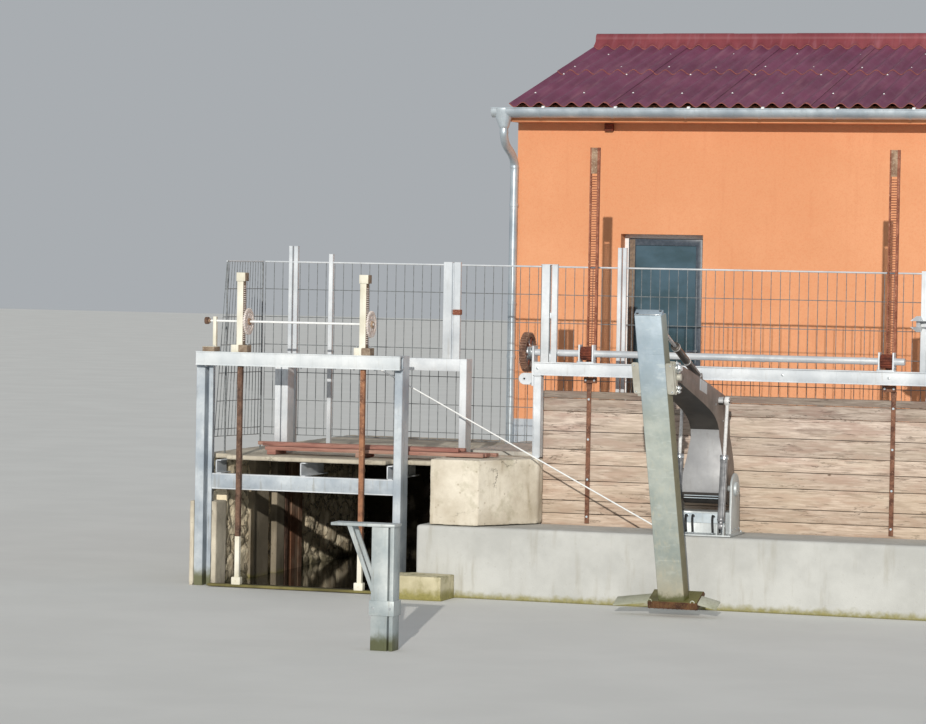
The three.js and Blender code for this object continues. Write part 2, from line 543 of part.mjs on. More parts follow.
function sluiceHoist() {
  const { top, stems, shaftY, shaftZ } = SLUICE;
  const shaftHole = circle([shaftY, shaftZ], holeRadius(12 + PLAY, 16), 16);
  for (const [side, x] of [['left', stems[0]], ['right', stems[1]]]) {
    const tube = box(x - 34, x + 34, -82.5, 2.5, top, 3231);
    const cap = box(x - 40, x + 58, -95, 15, 3230, 3320);
    const foot = box(x - 85, x + 95, -105, 20, top, 2560);
    const ear = alongX(rectangle(2, 55, 2770, 2840), x - 32, x - 12, [shaftHole]);
    const bore = box(x - 25 - PLAY, x + 25 + PLAY, -65 - PLAY, -15 + PLAY, top - 10, 3222);
    piece(`${side}_rack_hoist`, cut(fuse(tube, cap, foot, ear), bore), CREAM);
  }
  piece('crank_stand', fuse(box(-2878, -2742, -100, 60, top, 2535),
    alongX(rectangle(5, 55, 2534, 2850), -2805, -2770, [shaftHole])), CREAM);
  const spindle = discX([shaftY, shaftZ], 12, -2900, -1010, 16);
  const wheels = stems.map((x) => discX([shaftY, shaftZ], 140, x + 44, x + 66, 32));
  const crankHub = discX([shaftY, shaftZ], 38, -2900, -2862, 16);
  piece('sluice_shaft', fuse(spindle, ...wheels, crankHub), GALVANISED);
  const stemSolids = stems.flatMap((x) => [
    box(x - 25, x + 25, -65, -15, 69, 2515), box(x - 62, x + 62, -95, -16, 69, 160),
  ]);
  piece('sluice_gate', fuse(box(-2785, -765, -95, -16, 8, 70), ...stemSolids), RUST);
}

// Mesh fence: a flat grid of bars between posts
function grid(length, bays, rows) {
  const stepX = (length - FENCE.bar) / bays;
  const stepZ = (FENCE.top - FENCE.bottom - FENCE.bar) / rows;
  const half = FENCE.bar / 2;
  const holes = [];
  for (let i = 0; i < bays; i += 1) {
    for (let j = 0; j < rows; j += 1) {
      const x = FENCE.bar + i * stepX;
      const z = FENCE.bottom + FENCE.bar + j * stepZ;
      holes.push(box(x, x + stepX - FENCE.bar, -half - 1, half + 1, z, z + stepZ - FENCE.bar));
    }
  }
  return cut(box(0, length, -half, half, FENCE.bottom, FENCE.top), ...holes);
}

function fences() {
  const y = FENCE.y;
  const post = (x0, x1, z0, z1) => box(x0, x1, y - 25, y + 25, z0, z1);
  piece('fence_left', fuse(
    grid(4010, 6, 2).translate(-2690, y, 0), post(-2411, -2371, 1394, 3610), post(-2353, -2307, 1394, 3610),
    post(-1949, -1902, 1394, 3530), post(1290, 1330, DECK.top, 3650)), GALVANISED);
  piece('fence_right', fuse(
    grid(4385, 6, 2).translate(1345, y, 0), post(1345, 1385, DECK.top, 3650), post(4590, 4630, DECK.top, 3530),
    post(5690, 5730, DECK.top, 3610)), GALVANISED);
  const side = new THREE.Group();
  side.position.set(-2700, y - 35, 0);
  side.rotation.z = Math.atan2(-850, -82);
  plant.add(side);
  const sidePost = (x0) => box(x0, x0 + 24, -12, 12, 1394, FENCE.top);
  piece('fence_side', fuse(grid(850, 2, 2), sidePost(0), sidePost(826)), GALVANISED, side);
}

// Steel post with a bracket, standing in the water ahead of the intake
function guidePost() {
  const { x, y, top } = GUIDE;
  const post = cut(box(x - 105, x + 105, y - 85, y + 85, 0, top), box(x + 50, x + 70, y - 86, y + 15, -1, top + 1));
  const tray = box(x - 490, x + 115, y - 105, y + 95, top - 1, top + 24);
  const collar = box(x - 118, x + 118, y - 98, y + 98, 314, 448);
  const strut = (y0) => alongY([
    [x - 345, top], [x - 300, top], [x - 90, 560], [x - 90, 480],
  ], y0, y0 + 30);
  piece('guide_post', fuse(post, tray, collar, strut(y - 80), strut(y + 50)), GALVANISED);
}

houseBase();
houseWalls();
roof();
gutterAndPipe();
door();
intakeConcrete();
mainGate();
hoist();
armPedestal();
armBoom();
armStick();
cylinders();
sluiceConcrete();
sluiceFrames();
sluiceHoist();
fences();
guidePost();

export default plant;
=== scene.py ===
"""Small hydropower station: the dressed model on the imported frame.

Lengths are survey millimetres (X along the intake, Y from the water to the house, Z up from the water);
at() turns them into the row frame's metres.
"""
import math
import random

import bmesh
import bpy
from mathutils import Matrix, Vector, noise


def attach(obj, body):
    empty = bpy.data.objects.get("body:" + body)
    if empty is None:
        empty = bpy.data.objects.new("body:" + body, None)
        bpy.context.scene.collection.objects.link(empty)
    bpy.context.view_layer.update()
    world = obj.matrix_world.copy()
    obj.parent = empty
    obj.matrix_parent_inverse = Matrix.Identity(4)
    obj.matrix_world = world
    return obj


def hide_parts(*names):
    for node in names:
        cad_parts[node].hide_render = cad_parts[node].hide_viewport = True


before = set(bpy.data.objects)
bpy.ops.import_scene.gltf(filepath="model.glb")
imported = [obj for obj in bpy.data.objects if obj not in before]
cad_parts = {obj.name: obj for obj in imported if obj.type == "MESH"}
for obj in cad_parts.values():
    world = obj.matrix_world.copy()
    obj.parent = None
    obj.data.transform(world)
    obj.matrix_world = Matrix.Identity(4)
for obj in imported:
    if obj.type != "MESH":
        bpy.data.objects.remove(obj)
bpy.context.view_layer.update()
rng = random.Random(11)

GATE_CENTRE = 2700
WALL_DEPTH = 860


def at(x, y, z):
    return Vector(((x - GATE_CENTRE) / 1000, (y - WALL_DEPTH / 2) / 1000, z / 1000))


# Camera, light and floor
def camera():
    turn, pitch, roll = math.radians(18.35), math.radians(1.72), math.radians(1.02)
    up = Vector((0, 0, 1))
    along = Vector((math.cos(turn), math.sin(turn), 0))
    level = Vector((-math.sin(turn), math.cos(turn), 0))
    ahead = level * math.cos(pitch) - up * math.sin(pitch)
    down = -(up * math.cos(pitch) + level * math.sin(pitch))
    right = along * math.cos(roll) - down * math.sin(roll)
    below = down * math.cos(roll) + along * math.sin(roll)
    data = bpy.data.cameras.new("camera")
    focal_pixels = 3600
    data.sensor_width = 36
    data.lens = focal_pixels * data.sensor_width / 926
    data.clip_start, data.clip_end = 1, 400
    eye = bpy.data.objects.new("camera", data)
    bpy.context.scene.collection.objects.link(eye)
    eye.matrix_world = Matrix((
        (right.x, -below.x, -ahead.x, 8.98018366),
        (right.y, -below.y, -ahead.y, -35.68397009),
        (right.z, -below.z, -ahead.z, 3.55702405),
        (0, 0, 0, 1),
    ))
    bpy.context.scene.camera = eye


def light():
    sun = bpy.data.lights.new("sun", "SUN")
    sun.energy = 3.1
    sun.angle = math.radians(0.5)
    sun.color = (1.0, 0.955, 0.88)
    lamp = bpy.data.objects.new("sun", sun)
    lamp.rotation_mode = "QUATERNION"
    lamp.rotation_quaternion = Vector((-0.575, 2.5, -0.70)).to_track_quat("-Z", "Y")
    bpy.context.scene.collection.objects.link(lamp)
    world = bpy.data.worlds.new("studio")
    world.use_nodes = True
    sky = world.node_tree.nodes["Background"]
    sky.inputs["Color"].default_value = (0.90, 0.95, 1.0, 1)
    sky.inputs["Strength"].default_value = 0.44
    bpy.context.scene.world = world
    bpy.context.scene.view_settings.view_transform = "Standard"


# Materials
def rgb(r, g, b):
    def linear(c):
        c /= 255
        return c / 12.92 if c <= 0.04045 else ((c + 0.055) / 1.055) ** 2.4
    return (linear(r), linear(g), linear(b), 1.0)


class Look:
    """A procedural material in the making. Its patterns read the piece's own coordinates, in metres."""

    def __init__(self, name, rough=0.8, metal=0.0):
        self.material = bpy.data.materials.new(name)
        self.material.use_nodes = True
        self.tree = self.material.node_tree
        self.tree.nodes.clear()
        self.shader = self.add("ShaderNodeBsdfPrincipled")
        self.shader.inputs["Roughness"].default_value = rough
        self.shader.inputs["Metallic"].default_value = metal
        end = self.add("ShaderNodeOutputMaterial")
        self.tree.links.new(self.shader.outputs[0], end.inputs[0])
        coords = self.add("ShaderNodeTexCoord")
        self.place = coords.outputs["Object"]
        self.x, self.y, self.z = self.split(self.place)
        self.side, _, self.up = self.split(coords.outputs["Normal"])

    def add(self, kind, **settings):
        node = self.tree.nodes.new(kind)
        for key, value in settings.items():
            setattr(node, key, value)
        return node

    def put(self, socket, value):
        if isinstance(value, bpy.types.NodeSocket):
            self.tree.links.new(value, socket)
        else:
            socket.default_value = value

    def split(self, vector):
        node = self.add("ShaderNodeSeparateXYZ")
        self.put(node.inputs[0], vector)
        return node.outputs

    def math(self, operation, a, b=0.0):
        node = self.add("ShaderNodeMath", operation=operation)
        self.put(node.inputs[0], a)
        self.put(node.inputs[1], b)
        return node.outputs[0]

    def scaled(self, size, stretch, shift=0.0):
        node = self.add("ShaderNodeVectorMath", operation="MULTIPLY_ADD")
        self.put(node.inputs[0], self.place)
        node.inputs[1].default_value = [1 / (size * s) for s in stretch]
        node.inputs[2].default_value = (shift, shift * 0.7, shift * 1.3)
        return node.outputs[0]

    def noise(self, size, detail=4, stretch=(1, 1, 1), rough=0.55, shift=0.0, warp=0.0):
        """Noise about 0.5, with features about size metres across, times stretch along each axis."""
        node = self.add("ShaderNodeTexNoise")
        self.put(node.inputs["Vector"], self.scaled(size, stretch, shift))
        node.inputs["Scale"].default_value = 1
        node.inputs["Detail"].default_value = detail
        node.inputs["Roughness"].default_value = rough
        node.inputs["Distortion"].default_value = warp
        return node.outputs[0]

    def cells(self, size, stretch=(1, 1, 1), feature="F1", shift=0.0, output="Distance"):
        node = self.add("ShaderNodeTexVoronoi", feature=feature)
        self.put(node.inputs["Vector"], self.scaled(size, stretch, shift))
        node.inputs["Scale"].default_value = 1
        return node.outputs[output]

    def span(self, value, low, high, out_low=0.0, out_high=1.0):
        node = self.add("ShaderNodeMapRange", interpolation_type="SMOOTHSTEP")
        for socket, number in zip(node.inputs[:5], (value, low, high, out_low, out_high)):
            self.put(socket, number)
        return node.outputs[0]

    def times(self, a, b):
        return self.math("MULTIPLY", a, b)

    def blend(self, factor, a, b, mode="MIX"):
        node = self.add("ShaderNodeMix", data_type="RGBA", blend_type=mode)
        self.put(node.inputs[0], factor)
        self.put(node.inputs[6], a)
        self.put(node.inputs[7], b)
        return node.outputs[2]

    def steps(self, value, low, high, tones):
        """A grey tone for each band of value; tones is [(start, tone)]."""
        scaled = self.add("ShaderNodeMapRange")
        for socket, number in zip(scaled.inputs[:5], (value, low, high, 0.0, 1.0)):
            self.put(socket, number)
        ramp = self.add("ShaderNodeValToRGB")
        ramp.color_ramp.interpolation = "CONSTANT"
        marks = ramp.color_ramp.elements
        while len(marks) < len(tones):
            marks.new(0.5)
        for mark, (start, tone) in zip(marks, tones):
            mark.position = (start - low) / (high - low)
            mark.color = (tone, tone, tone, 1)
        self.put(ramp.inputs[0], scaled.outputs[0])
        return ramp.outputs[0]

    def done(self, colour, rough=None, height=None, depth=0.002, strength=0.6):
        self.put(self.shader.inputs["Base Color"], colour)
        if rough is not None:
            self.put(self.shader.inputs["Roughness"], rough)
        if height is not None:
            bump = self.add("ShaderNodeBump")
            bump.inputs["Distance"].default_value = depth
            bump.inputs["Strength"].default_value = strength
            self.put(bump.inputs["Height"], height)
            self.put(self.shader.inputs["Normal"], bump.outputs[0])
        return self.material


def stucco():
    k = Look("stucco_orange", 0.92)
    patch = k.span(k.noise(1.3, 5), 0.35, 0.68)
    fine = k.noise(0.016, 3, rough=0.7)
    paint = k.blend(patch, rgb(214, 149, 108), rgb(223, 160, 119))
    paint = k.blend(k.times(k.span(fine, 0.42, 0.75), 0.35), paint, rgb(206, 122, 78))
    streak = k.span(k.noise(0.09, 4, (1, 1, 14)), 0.55, 0.8)
    paint = k.blend(k.times(streak, 0.22), paint, rgb(196, 118, 78))
    rise = k.math("ADD", k.z, k.times(k.noise(0.3, 2), 0.01))
    grey = k.blend(k.noise(0.25, 5), rgb(160, 170, 182), rgb(186, 192, 198))
    colour = k.blend(k.span(rise, 1.717, 1.726), grey, paint)
    return k.done(colour, height=k.noise(0.012, 4, rough=0.7), depth=0.004, strength=0.55)


def roofing(name, dark_tone, light_tone, stain, rough):
    """Fibre cement washed pale in streaks down the slope."""
    k = Look(name, rough)
    patch = k.span(k.noise(0.9, 4), 0.3, 0.72)
    colour = k.blend(patch, dark_tone, light_tone)
    run_down = k.span(k.noise(0.035, 4, (1, 26, 7)), 0.4, 0.72)
    colour = k.blend(k.times(run_down, 0.35), colour, stain)
    wash = k.span(k.noise(0.06, 4, (1, 20, 5), shift=4), 0.5, 0.75)
    colour = k.blend(k.times(wash, 0.3), colour, rgb(160, 112, 122))
    sheen = k.span(k.noise(0.25, 4, shift=9), 0.3, 0.7, rough - 0.06, rough + 0.1)
    return k.done(colour, sheen, k.noise(0.01, 3), 0.001, 0.3)


def concrete(name, light_tone, dark_tone, stain, algae=0.0, crack=0.0, moss=0.0, pits=0.5):
    """Weathered concrete. algae is the height in metres that the green foot reaches."""
    k = Look(name, 0.9)
    patch = k.span(k.noise(0.55, 6, rough=0.6), 0.32, 0.7)
    colour = k.blend(patch, dark_tone, light_tone)
    grain = k.noise(0.012, 3, rough=0.7)
    colour = k.blend(k.times(k.span(grain, 0.5, 0.8), 0.35), colour, dark_tone)
    runs = k.span(k.noise(0.11, 5, (1, 1, 7), shift=3), 0.53, 0.78)
    colour = k.blend(k.times(runs, 0.55), colour, stain)
    holes = k.span(k.cells(0.09, shift=5), 0.07, 0.16, 1.0, 0.0)
    colour = k.blend(k.times(holes, pits), colour, k.blend(0.5, stain, dark_tone))
    height = k.math("SUBTRACT", k.times(grain, 0.4), k.times(holes, pits))
    if crack:
        wander = k.math("ABSOLUTE", k.math("SUBTRACT", k.noise(0.45, 7, rough=0.6, shift=2), 0.5))
        some = k.span(k.noise(0.5, 3, shift=8), 0.5, 0.62)
        line = k.times(k.span(wander, 0.0015, 0.006, 1.0, 0.0), some)
        colour = k.blend(k.times(line, crack), colour, rgb(70, 62, 50))
        height = k.math("SUBTRACT", height, line)
    if moss:
        patches = k.times(k.span(k.noise(0.16, 6, shift=6, rough=0.65), 0.52, 0.66), k.span(k.up, -0.2, 0.7, 0.45, 1.0))
        colour = k.blend(k.times(patches, moss), colour, rgb(108, 104, 52))
    if algae:
        edge = k.math("ADD", k.z, k.times(k.noise(0.07, 5, shift=1), 0.12))
        wet = k.span(edge, algae, algae + 0.09, 1.0, 0.0)
        slime = k.blend(k.noise(0.03, 4), rgb(96, 92, 40), rgb(160, 152, 86))
        colour = k.blend(k.times(wet, 0.9), colour, slime)
    return k.done(colour, None, height, 0.006, 0.7)


def rock():
    k = Look("rock_rubble", 0.95)
    stone = k.cells(0.42, (1, 1.3, 0.8), output="Color")
    tone = k.split(stone)[0]
    colour = k.blend(tone, rgb(206, 188, 158), rgb(240, 226, 196))
    colour = k.blend(k.span(k.noise(0.08, 6), 0.4, 0.7), colour, rgb(238, 226, 198))
    wander = k.math("ABSOLUTE", k.math("SUBTRACT", k.noise(0.32, 6, rough=0.6, shift=2), 0.5))
    joint = k.span(wander, 0.004, 0.03, 1.0, 0.0)
    colour = k.blend(k.times(joint, 0.6), colour, rgb(96, 82, 60))
    wet = k.span(k.math("ADD", k.z, k.times(k.noise(0.1, 4), 0.2)), 0.12, 0.28, 1.0, 0.0)
    colour = k.blend(k.times(wet, 0.8), colour, rgb(78, 74, 40))
    height = k.math("SUBTRACT", k.noise(0.05, 6), joint)
    return k.done(colour, None, height, 0.02, 0.9)


def timber(name, base_dark, base_light, tones=(), low=0.0, high=1.0, grain=(14, 1, 1), age=0.0):
    """Weathered boards, their grain along the first axis of grain.

    tones sets each plank's own shade by height; age adds grey and pink blotches, cracks and yellow to the low boards.
    """
    k = Look(name, 0.88)
    streak = k.noise(0.016, 6, grain, rough=0.6, warp=0.4)
    colour = k.blend(k.span(streak, 0.24, 0.8), base_dark, base_light)
    if age:
        for tone, shift, low_edge in ((rgb(172, 146, 134), 4, 0.48), (rgb(140, 122, 112), 11, 0.56), (rgb(216, 202, 190), 17, 0.58)):
            blot = k.span(k.noise(0.11, 5, (4.5, 1, 0.9), shift=shift, rough=0.6), low_edge, low_edge + 0.13)
            colour = k.blend(k.times(blot, age), colour, tone)
        colour = k.blend(k.span(k.z, 0.9, 1.8, 0.22, 0.0), colour, rgb(200, 172, 134))
        line = k.math("ABSOLUTE", k.math("SUBTRACT", k.noise(0.09, 5, (9, 1, 1), shift=21, rough=0.6), 0.5))
        some = k.span(k.noise(0.3, 3, (3, 1, 0.5), shift=25), 0.48, 0.58)
        colour = k.blend(k.times(k.times(k.span(line, 0.002, 0.012, 1.0, 0.0), some), 0.75), colour, rgb(66, 50, 42))
    broad = k.span(k.noise(0.35, 4, tuple(max(1, g / 5) for g in grain), shift=2), 0.35, 0.7)
    colour = k.blend(k.times(broad, 0.35), colour, rgb(196, 182, 160))
    check = k.span(k.noise(0.008, 4, tuple(g * 2.4 for g in grain), shift=7), 0.62, 0.68)
    colour = k.blend(k.times(check, 0.4), colour, rgb(74, 60, 50))
    ring = k.cells(0.3, tuple(1 + g / 16 for g in grain), shift=3)
    knot = k.span(ring, 0.018, 0.045, 1.0, 0.0)
    colour = k.blend(k.times(knot, 0.75), colour, rgb(78, 54, 36))
    if tones:
        colour = k.blend(1.0, colour, k.steps(k.z, low, high, tones), "MULTIPLY")
    height = k.math("SUBTRACT", k.times(streak, 0.7), check)
    return k.done(colour, None, height, 0.004, 0.7)


def steel(name, light_tone, dark_tone, stain, rough=(0.38, 0.6), metal=0.35, drip=0.3, foot=None, spangle=0.25):
    """Galvanised or painted steel with runs of dirt; foot is (height, colour) of the growth at the water."""
    k = Look(name, 0.5, metal)
    flake = k.split(k.cells(0.03, output="Color"))[0]
    patch = k.span(k.noise(0.4, 5), 0.3, 0.7)
    colour = k.blend(patch, dark_tone, light_tone)
    colour = k.blend(k.times(flake, spangle), colour, dark_tone)
    runs = k.span(k.noise(0.035, 5, (1, 1, 10), shift=2), 0.54, 0.76)
    colour = k.blend(k.times(runs, drip), colour, stain)
    spots = k.span(k.noise(0.028, 5, shift=6, rough=0.7), 0.62, 0.72)
    colour = k.blend(k.times(spots, drip), colour, stain)
    if foot:
        edge = k.math("ADD", k.z, k.times(k.noise(0.06, 5, shift=1), foot[0] * 0.8))
        wet = k.span(edge, foot[0], foot[0] * 1.9, 1.0, 0.0)
        colour = k.blend(k.times(wet, 0.9), colour, foot[1])
    sheen = k.span(k.noise(0.1, 4, shift=5), 0.3, 0.7, *rough)
    return k.done(colour, sheen, k.noise(0.03, 4, shift=8), 0.001, 0.4)


def rusty(name, dark_tone, light_tone, flake, rough=0.86):
    k = Look(name, rough, 0.15)
    colour = k.blend(k.span(k.noise(0.09, 6, rough=0.65), 0.34, 0.66), dark_tone, light_tone)
    colour = k.blend(k.times(k.span(k.noise(0.018, 5, shift=3), 0.55, 0.7), 0.7), colour, flake)
    return k.done(colour, None, k.noise(0.012, 5), 0.002, 0.7)


def stick_steel():
    """The stick's galvanising: pale blue above, greener and browner down its length, mossy at the water, its right
    side darkened olive as painted shade."""
    k = Look("galvanised_stick", 0.5, 0.3)
    patch = k.span(k.noise(0.28, 6, rough=0.6), 0.32, 0.68)
    above = k.blend(patch, rgb(152, 168, 180), rgb(178, 192, 203))
    below = k.blend(patch, rgb(164, 173, 167), rgb(191, 197, 189))
    fall = k.math("ADD", k.z, k.times(k.noise(0.4, 4, shift=3), 0.5))
    colour = k.blend(k.span(fall, 2.1, 2.9), below, above)
    flake = k.split(k.cells(0.03, output="Color"))[0]
    colour = k.blend(k.times(flake, 0.16), colour, rgb(140, 158, 162))
    band = k.span(k.noise(0.05, 4, (3, 1, 1), shift=13), 0.56, 0.72)
    colour = k.blend(k.times(band, 0.3), colour, rgb(216, 224, 222))
    runs = k.span(k.noise(0.03, 5, (1, 1, 12), shift=2), 0.5, 0.75)
    low = k.span(k.z, 0.3, 2.4, 0.6, 0.05)
    colour = k.blend(k.times(runs, low), colour, rgb(202, 198, 178))
    foot = k.span(k.math("ADD", k.z, k.times(k.noise(0.12, 5), 0.3)), 0.3, 0.8, 1.0, 0.0)
    colour = k.blend(k.times(foot, 0.6), colour, rgb(206, 194, 166))
    # Right-hand faces get an olive tone that paints their shade.
    right = k.span(k.side, 0.55, 0.8)
    olive_shade = k.blend(k.noise(0.2, 5), rgb(92, 86, 62), rgb(126, 117, 90))
    colour = k.blend(k.times(right, k.span(k.z, 2.4, 3.1, 0.9, 0.6)), colour, olive_shade)
    moss = k.span(k.math("ADD", k.z, k.times(k.noise(0.04, 5), 0.12)), 0.24, 0.31, 1.0, 0.0)
    colour = k.blend(k.times(moss, 0.85), colour, rgb(92, 96, 48))
    return k.done(colour, k.span(k.noise(0.15, 4), 0.3, 0.7, 0.42, 0.66), k.noise(0.04, 4), 0.001, 0.4)


def plain_grain(name, tone, other, rough, metal=0.0, size=0.03, depth=0.0006):
    """Paint, rubber or bright metal with a fine mottle."""
    k = Look(name, rough, metal)
    colour = k.blend(k.span(k.noise(size, 5), 0.35, 0.68), tone, other)
    return k.done(colour, None, k.noise(size * 0.4, 3), depth, 0.4)


def window():
    k = Look("glass_painted_reflection", 0.06)
    k.shader.inputs["IOR"].default_value = 1.5
    # Painted reflections: the colour rises from dark green to sky blue, with greenish patches of reflected trees.
    low = k.span(k.z, 1.6, 3.3)
    colour = k.blend(low, rgb(30, 44, 44), rgb(74, 98, 112))
    tree_reflection = k.span(k.noise(0.5, 4, (1, 1, 0.6)), 0.4, 0.65)
    colour = k.blend(k.times(tree_reflection, 0.5), colour, rgb(40, 60, 62))
    return k.done(colour)


PLANK_TOPS = [2142, 2064, 1928, 1718, 1529, 1372, 1203, 993, 857]
PLANK_TONES = [0.50, 0.76, 1.0, 0.90, 1.06, 0.95, 1.0, 0.9, 0.98]

STUCCO = stucco()
ROOFING = roofing("roofing_wine", rgb(104, 46, 76), rgb(124, 62, 92), rgb(90, 42, 58), 0.6)
CAP = roofing("roofing_cap", rgb(118, 50, 58), rgb(136, 66, 72), rgb(104, 46, 52), 0.5)
ROOF_EDGE = plain_grain("roofing_edge", rgb(126, 66, 62), rgb(148, 84, 76), 0.7)
# Dark tone on the sheets' side edges that paints the shadow line at each lap.
ROOF_LAP_SHADOW = plain_grain("roofing_lap_painted_shadow", rgb(58, 26, 38), rgb(70, 34, 46), 0.8)
CONCRETE = concrete("concrete_grey", rgb(196, 192, 184), rgb(166, 163, 156), rgb(132, 124, 108), pits=0.4)
BREAST = concrete("concrete_breast_wall", rgb(192, 193, 190), rgb(174, 175, 172), rgb(156, 152, 140), algae=0.06,
                  pits=0.2)
PIER = concrete("concrete_pier", rgb(226, 219, 204), rgb(186, 176, 158), rgb(136, 120, 90), algae=0.1, crack=0.6,
                moss=0.4)
PLINTH = concrete("concrete_plinth", rgb(206, 198, 168), rgb(172, 164, 132), rgb(120, 108, 70), algae=0.1, crack=0.5,
                  moss=0.7)
STONE_POST = concrete("stone_post", rgb(160, 149, 130), rgb(122, 113, 96), rgb(92, 84, 66), algae=0.04)
SLAB = concrete("concrete_slab", rgb(210, 202, 184), rgb(168, 160, 144), rgb(118, 104, 84), crack=0.4, pits=0.5)
ROCK = rock()
WET = plain_grain("concrete_wet", rgb(44, 40, 30), rgb(30, 28, 22), 0.07, 0, 0.2, 0.0006)
PLANKS = timber("timber_planks", rgb(158, 140, 128), rgb(222, 206, 193),
                [(z / 1000, t) for z, t in zip([700] + PLANK_TOPS[:0:-1], PLANK_TONES[::-1])], 0.7, 2.142, age=0.7)
BOARDS = timber("timber_boards", rgb(122, 80, 72), rgb(168, 116, 104))
SOFFIT_PAINT = plain_grain("soffit_paint", rgb(222, 148, 104), rgb(230, 160, 116), 0.8, 0, 0.2)
SOFFIT = timber("timber_soffit", rgb(96, 62, 44), rgb(140, 96, 68))
ZINC = steel("zinc", rgb(200, 210, 217), rgb(164, 176, 186), rgb(146, 150, 148), (0.3, 0.46), 0.5, 0.25)
GALVANISED = steel("galvanised", rgb(204, 214, 220), rgb(168, 182, 192), rgb(142, 136, 118), metal=0.3, drip=0.2)
LIGHT_STEEL = steel("light_steel", rgb(222, 226, 230), rgb(190, 196, 202), rgb(150, 140, 122), metal=0.15, drip=0.22)
GUIDE_STEEL = steel("guide_steel", rgb(192, 198, 198), rgb(144, 156, 160), rgb(120, 112, 88), metal=0.2, drip=0.4,
                    foot=(0.12, rgb(82, 84, 44)))
FRAME_STEEL = steel("frame_steel", rgb(200, 207, 212), rgb(150, 161, 172), rgb(120, 112, 92), metal=0.15, drip=0.4,
                    foot=(0.14, rgb(98, 98, 56)))
STICK_STEEL = stick_steel()
CAP_STEEL = steel("stick_cap", rgb(160, 174, 186), rgb(136, 150, 162), rgb(110, 114, 112), metal=0.3)
BRACKET_STEEL = steel("bracket_steel", rgb(206, 204, 194), rgb(176, 174, 162), rgb(140, 132, 112), metal=0.25)
RAKE_STEEL = steel("rake_steel", rgb(112, 108, 64), rgb(78, 76, 42), rgb(66, 48, 32), metal=0.1, drip=0.5)
RAKE_BROWN = rusty("rake_brown", rgb(66, 40, 28), rgb(104, 72, 46), rgb(116, 104, 60))
RAKE_PLATE = steel("rake_plate", rgb(188, 190, 176), rgb(150, 152, 124), rgb(104, 100, 60), metal=0.2, drip=0.5)
BEAM_PALE = steel("beam_pale", rgb(224, 228, 230), rgb(196, 203, 208), rgb(150, 146, 132), metal=0.1, drip=0.15)
WIRE = plain_grain("fence_wire", rgb(112, 116, 118), rgb(142, 147, 150), 0.4, 0.3)
BRIGHT = plain_grain("steel_bright", rgb(190, 196, 200), rgb(226, 230, 232), 0.28, 0.85, 0.02)
SHAFT_STEEL = steel("shaft_steel", rgb(226, 229, 232), rgb(200, 205, 210), rgb(168, 160, 148), (0.28, 0.42), 0.45, 0.12)
ARM_GREY = steel("arm_grey", rgb(168, 169, 171), rgb(144, 145, 148), rgb(120, 114, 106), (0.5, 0.62), 0.2, 0.25)
# Darker brown-grey copy of the arm grey that paints the shade on the boom's side faces.
ARM_SIDE_SHADE = steel("arm_side_painted_shade", rgb(138, 127, 121), rgb(106, 97, 93), rgb(80, 70, 64), (0.45, 0.6), 0.25, 0.25)
PEDESTAL_GREY = steel("pedestal_grey", rgb(196, 202, 204), rgb(160, 166, 168), rgb(120, 110, 96), metal=0.3, drip=0.25)
# Dark grey that paints the shade on the boom's down-facing faces.
ARM_UNDERSIDE_SHADE = plain_grain("arm_underside_painted_shade", rgb(46, 43, 41), rgb(64, 60, 57), 0.6, 0.1, 0.2)
BARREL_GREY = plain_grain("barrel_grey", rgb(128, 129, 132), rgb(160, 161, 164), 0.36, 0.5, 0.05)
BARREL_DARK = plain_grain("barrel_dark", rgb(54, 49, 46), rgb(78, 72, 66), 0.35, 0.4, 0.05)
ROD_LIGHT = plain_grain("rod_light", rgb(206, 206, 206), rgb(230, 230, 230), 0.3, 0.1, 0.03)
TUBE_BROWN = plain_grain("tube_brown", rgb(112, 98, 84), rgb(142, 128, 112), 0.5, 0.3, 0.05)
RUST = rusty("rust_dark", rgb(70, 34, 26), rgb(120, 60, 42), rgb(150, 84, 54))
RUST_LIGHT = rusty("rust_orange", rgb(112, 76, 58), rgb(164, 116, 86), rgb(190, 150, 120))
RUST_PALE = rusty("rust_pale", rgb(124, 92, 72), rgb(176, 152, 128), rgb(206, 190, 170))
RUST_RIM = rusty("rust_rim", rgb(92, 66, 56), rgb(140, 106, 88), rgb(176, 150, 132))
RUST_RACK = rusty("rust_rack", rgb(122, 70, 52), rgb(164, 106, 82), rgb(196, 150, 128))
RUST_STEM = rusty("rust_stem", rgb(80, 60, 50), rgb(120, 92, 76), rgb(146, 120, 102))
GEAR_PALE = rusty("gear_pale", rgb(196, 182, 174), rgb(226, 220, 216), rgb(240, 238, 236), 0.6)
# Rust brown that also paints the shade on the cream hoists' right-hand faces and lower parts.
HOIST_RUST_AND_SHADE = rusty("hoist_rust_and_painted_shade", rgb(118, 100, 84), rgb(152, 136, 118), rgb(180, 166, 148))
RUST_STRAP = rusty("rust_strap", rgb(88, 58, 46), rgb(136, 96, 76), rgb(166, 128, 106))
CREAM = steel("cream_paint", rgb(232, 229, 216), rgb(208, 203, 184), rgb(150, 132, 106), metal=0.0, drip=0.3, spangle=0.1)
# Blue-grey of the door leaf, made dark enough to paint the shade of its deep recess as well.
DOOR_DARK = plain_grain("door_dark", rgb(58, 68, 80), rgb(76, 86, 98), 0.35)
WHITE = plain_grain("white_frame", rgb(226, 229, 230), rgb(240, 241, 240), 0.4)
BROWN_TRIM = plain_grain("door_brown", rgb(104, 88, 74), rgb(128, 110, 92), 0.5)
GLASS = window()
BLIND = plain_grain("blind_slats", rgb(120, 128, 134), rgb(150, 156, 160), 0.5)
RUBBER = plain_grain("rubber_black", rgb(22, 22, 24), rgb(40, 40, 42), 0.55)
MOSS = concrete("moss_strip", rgb(128, 120, 72), rgb(84, 78, 44), rgb(62, 54, 30), pits=0.7)
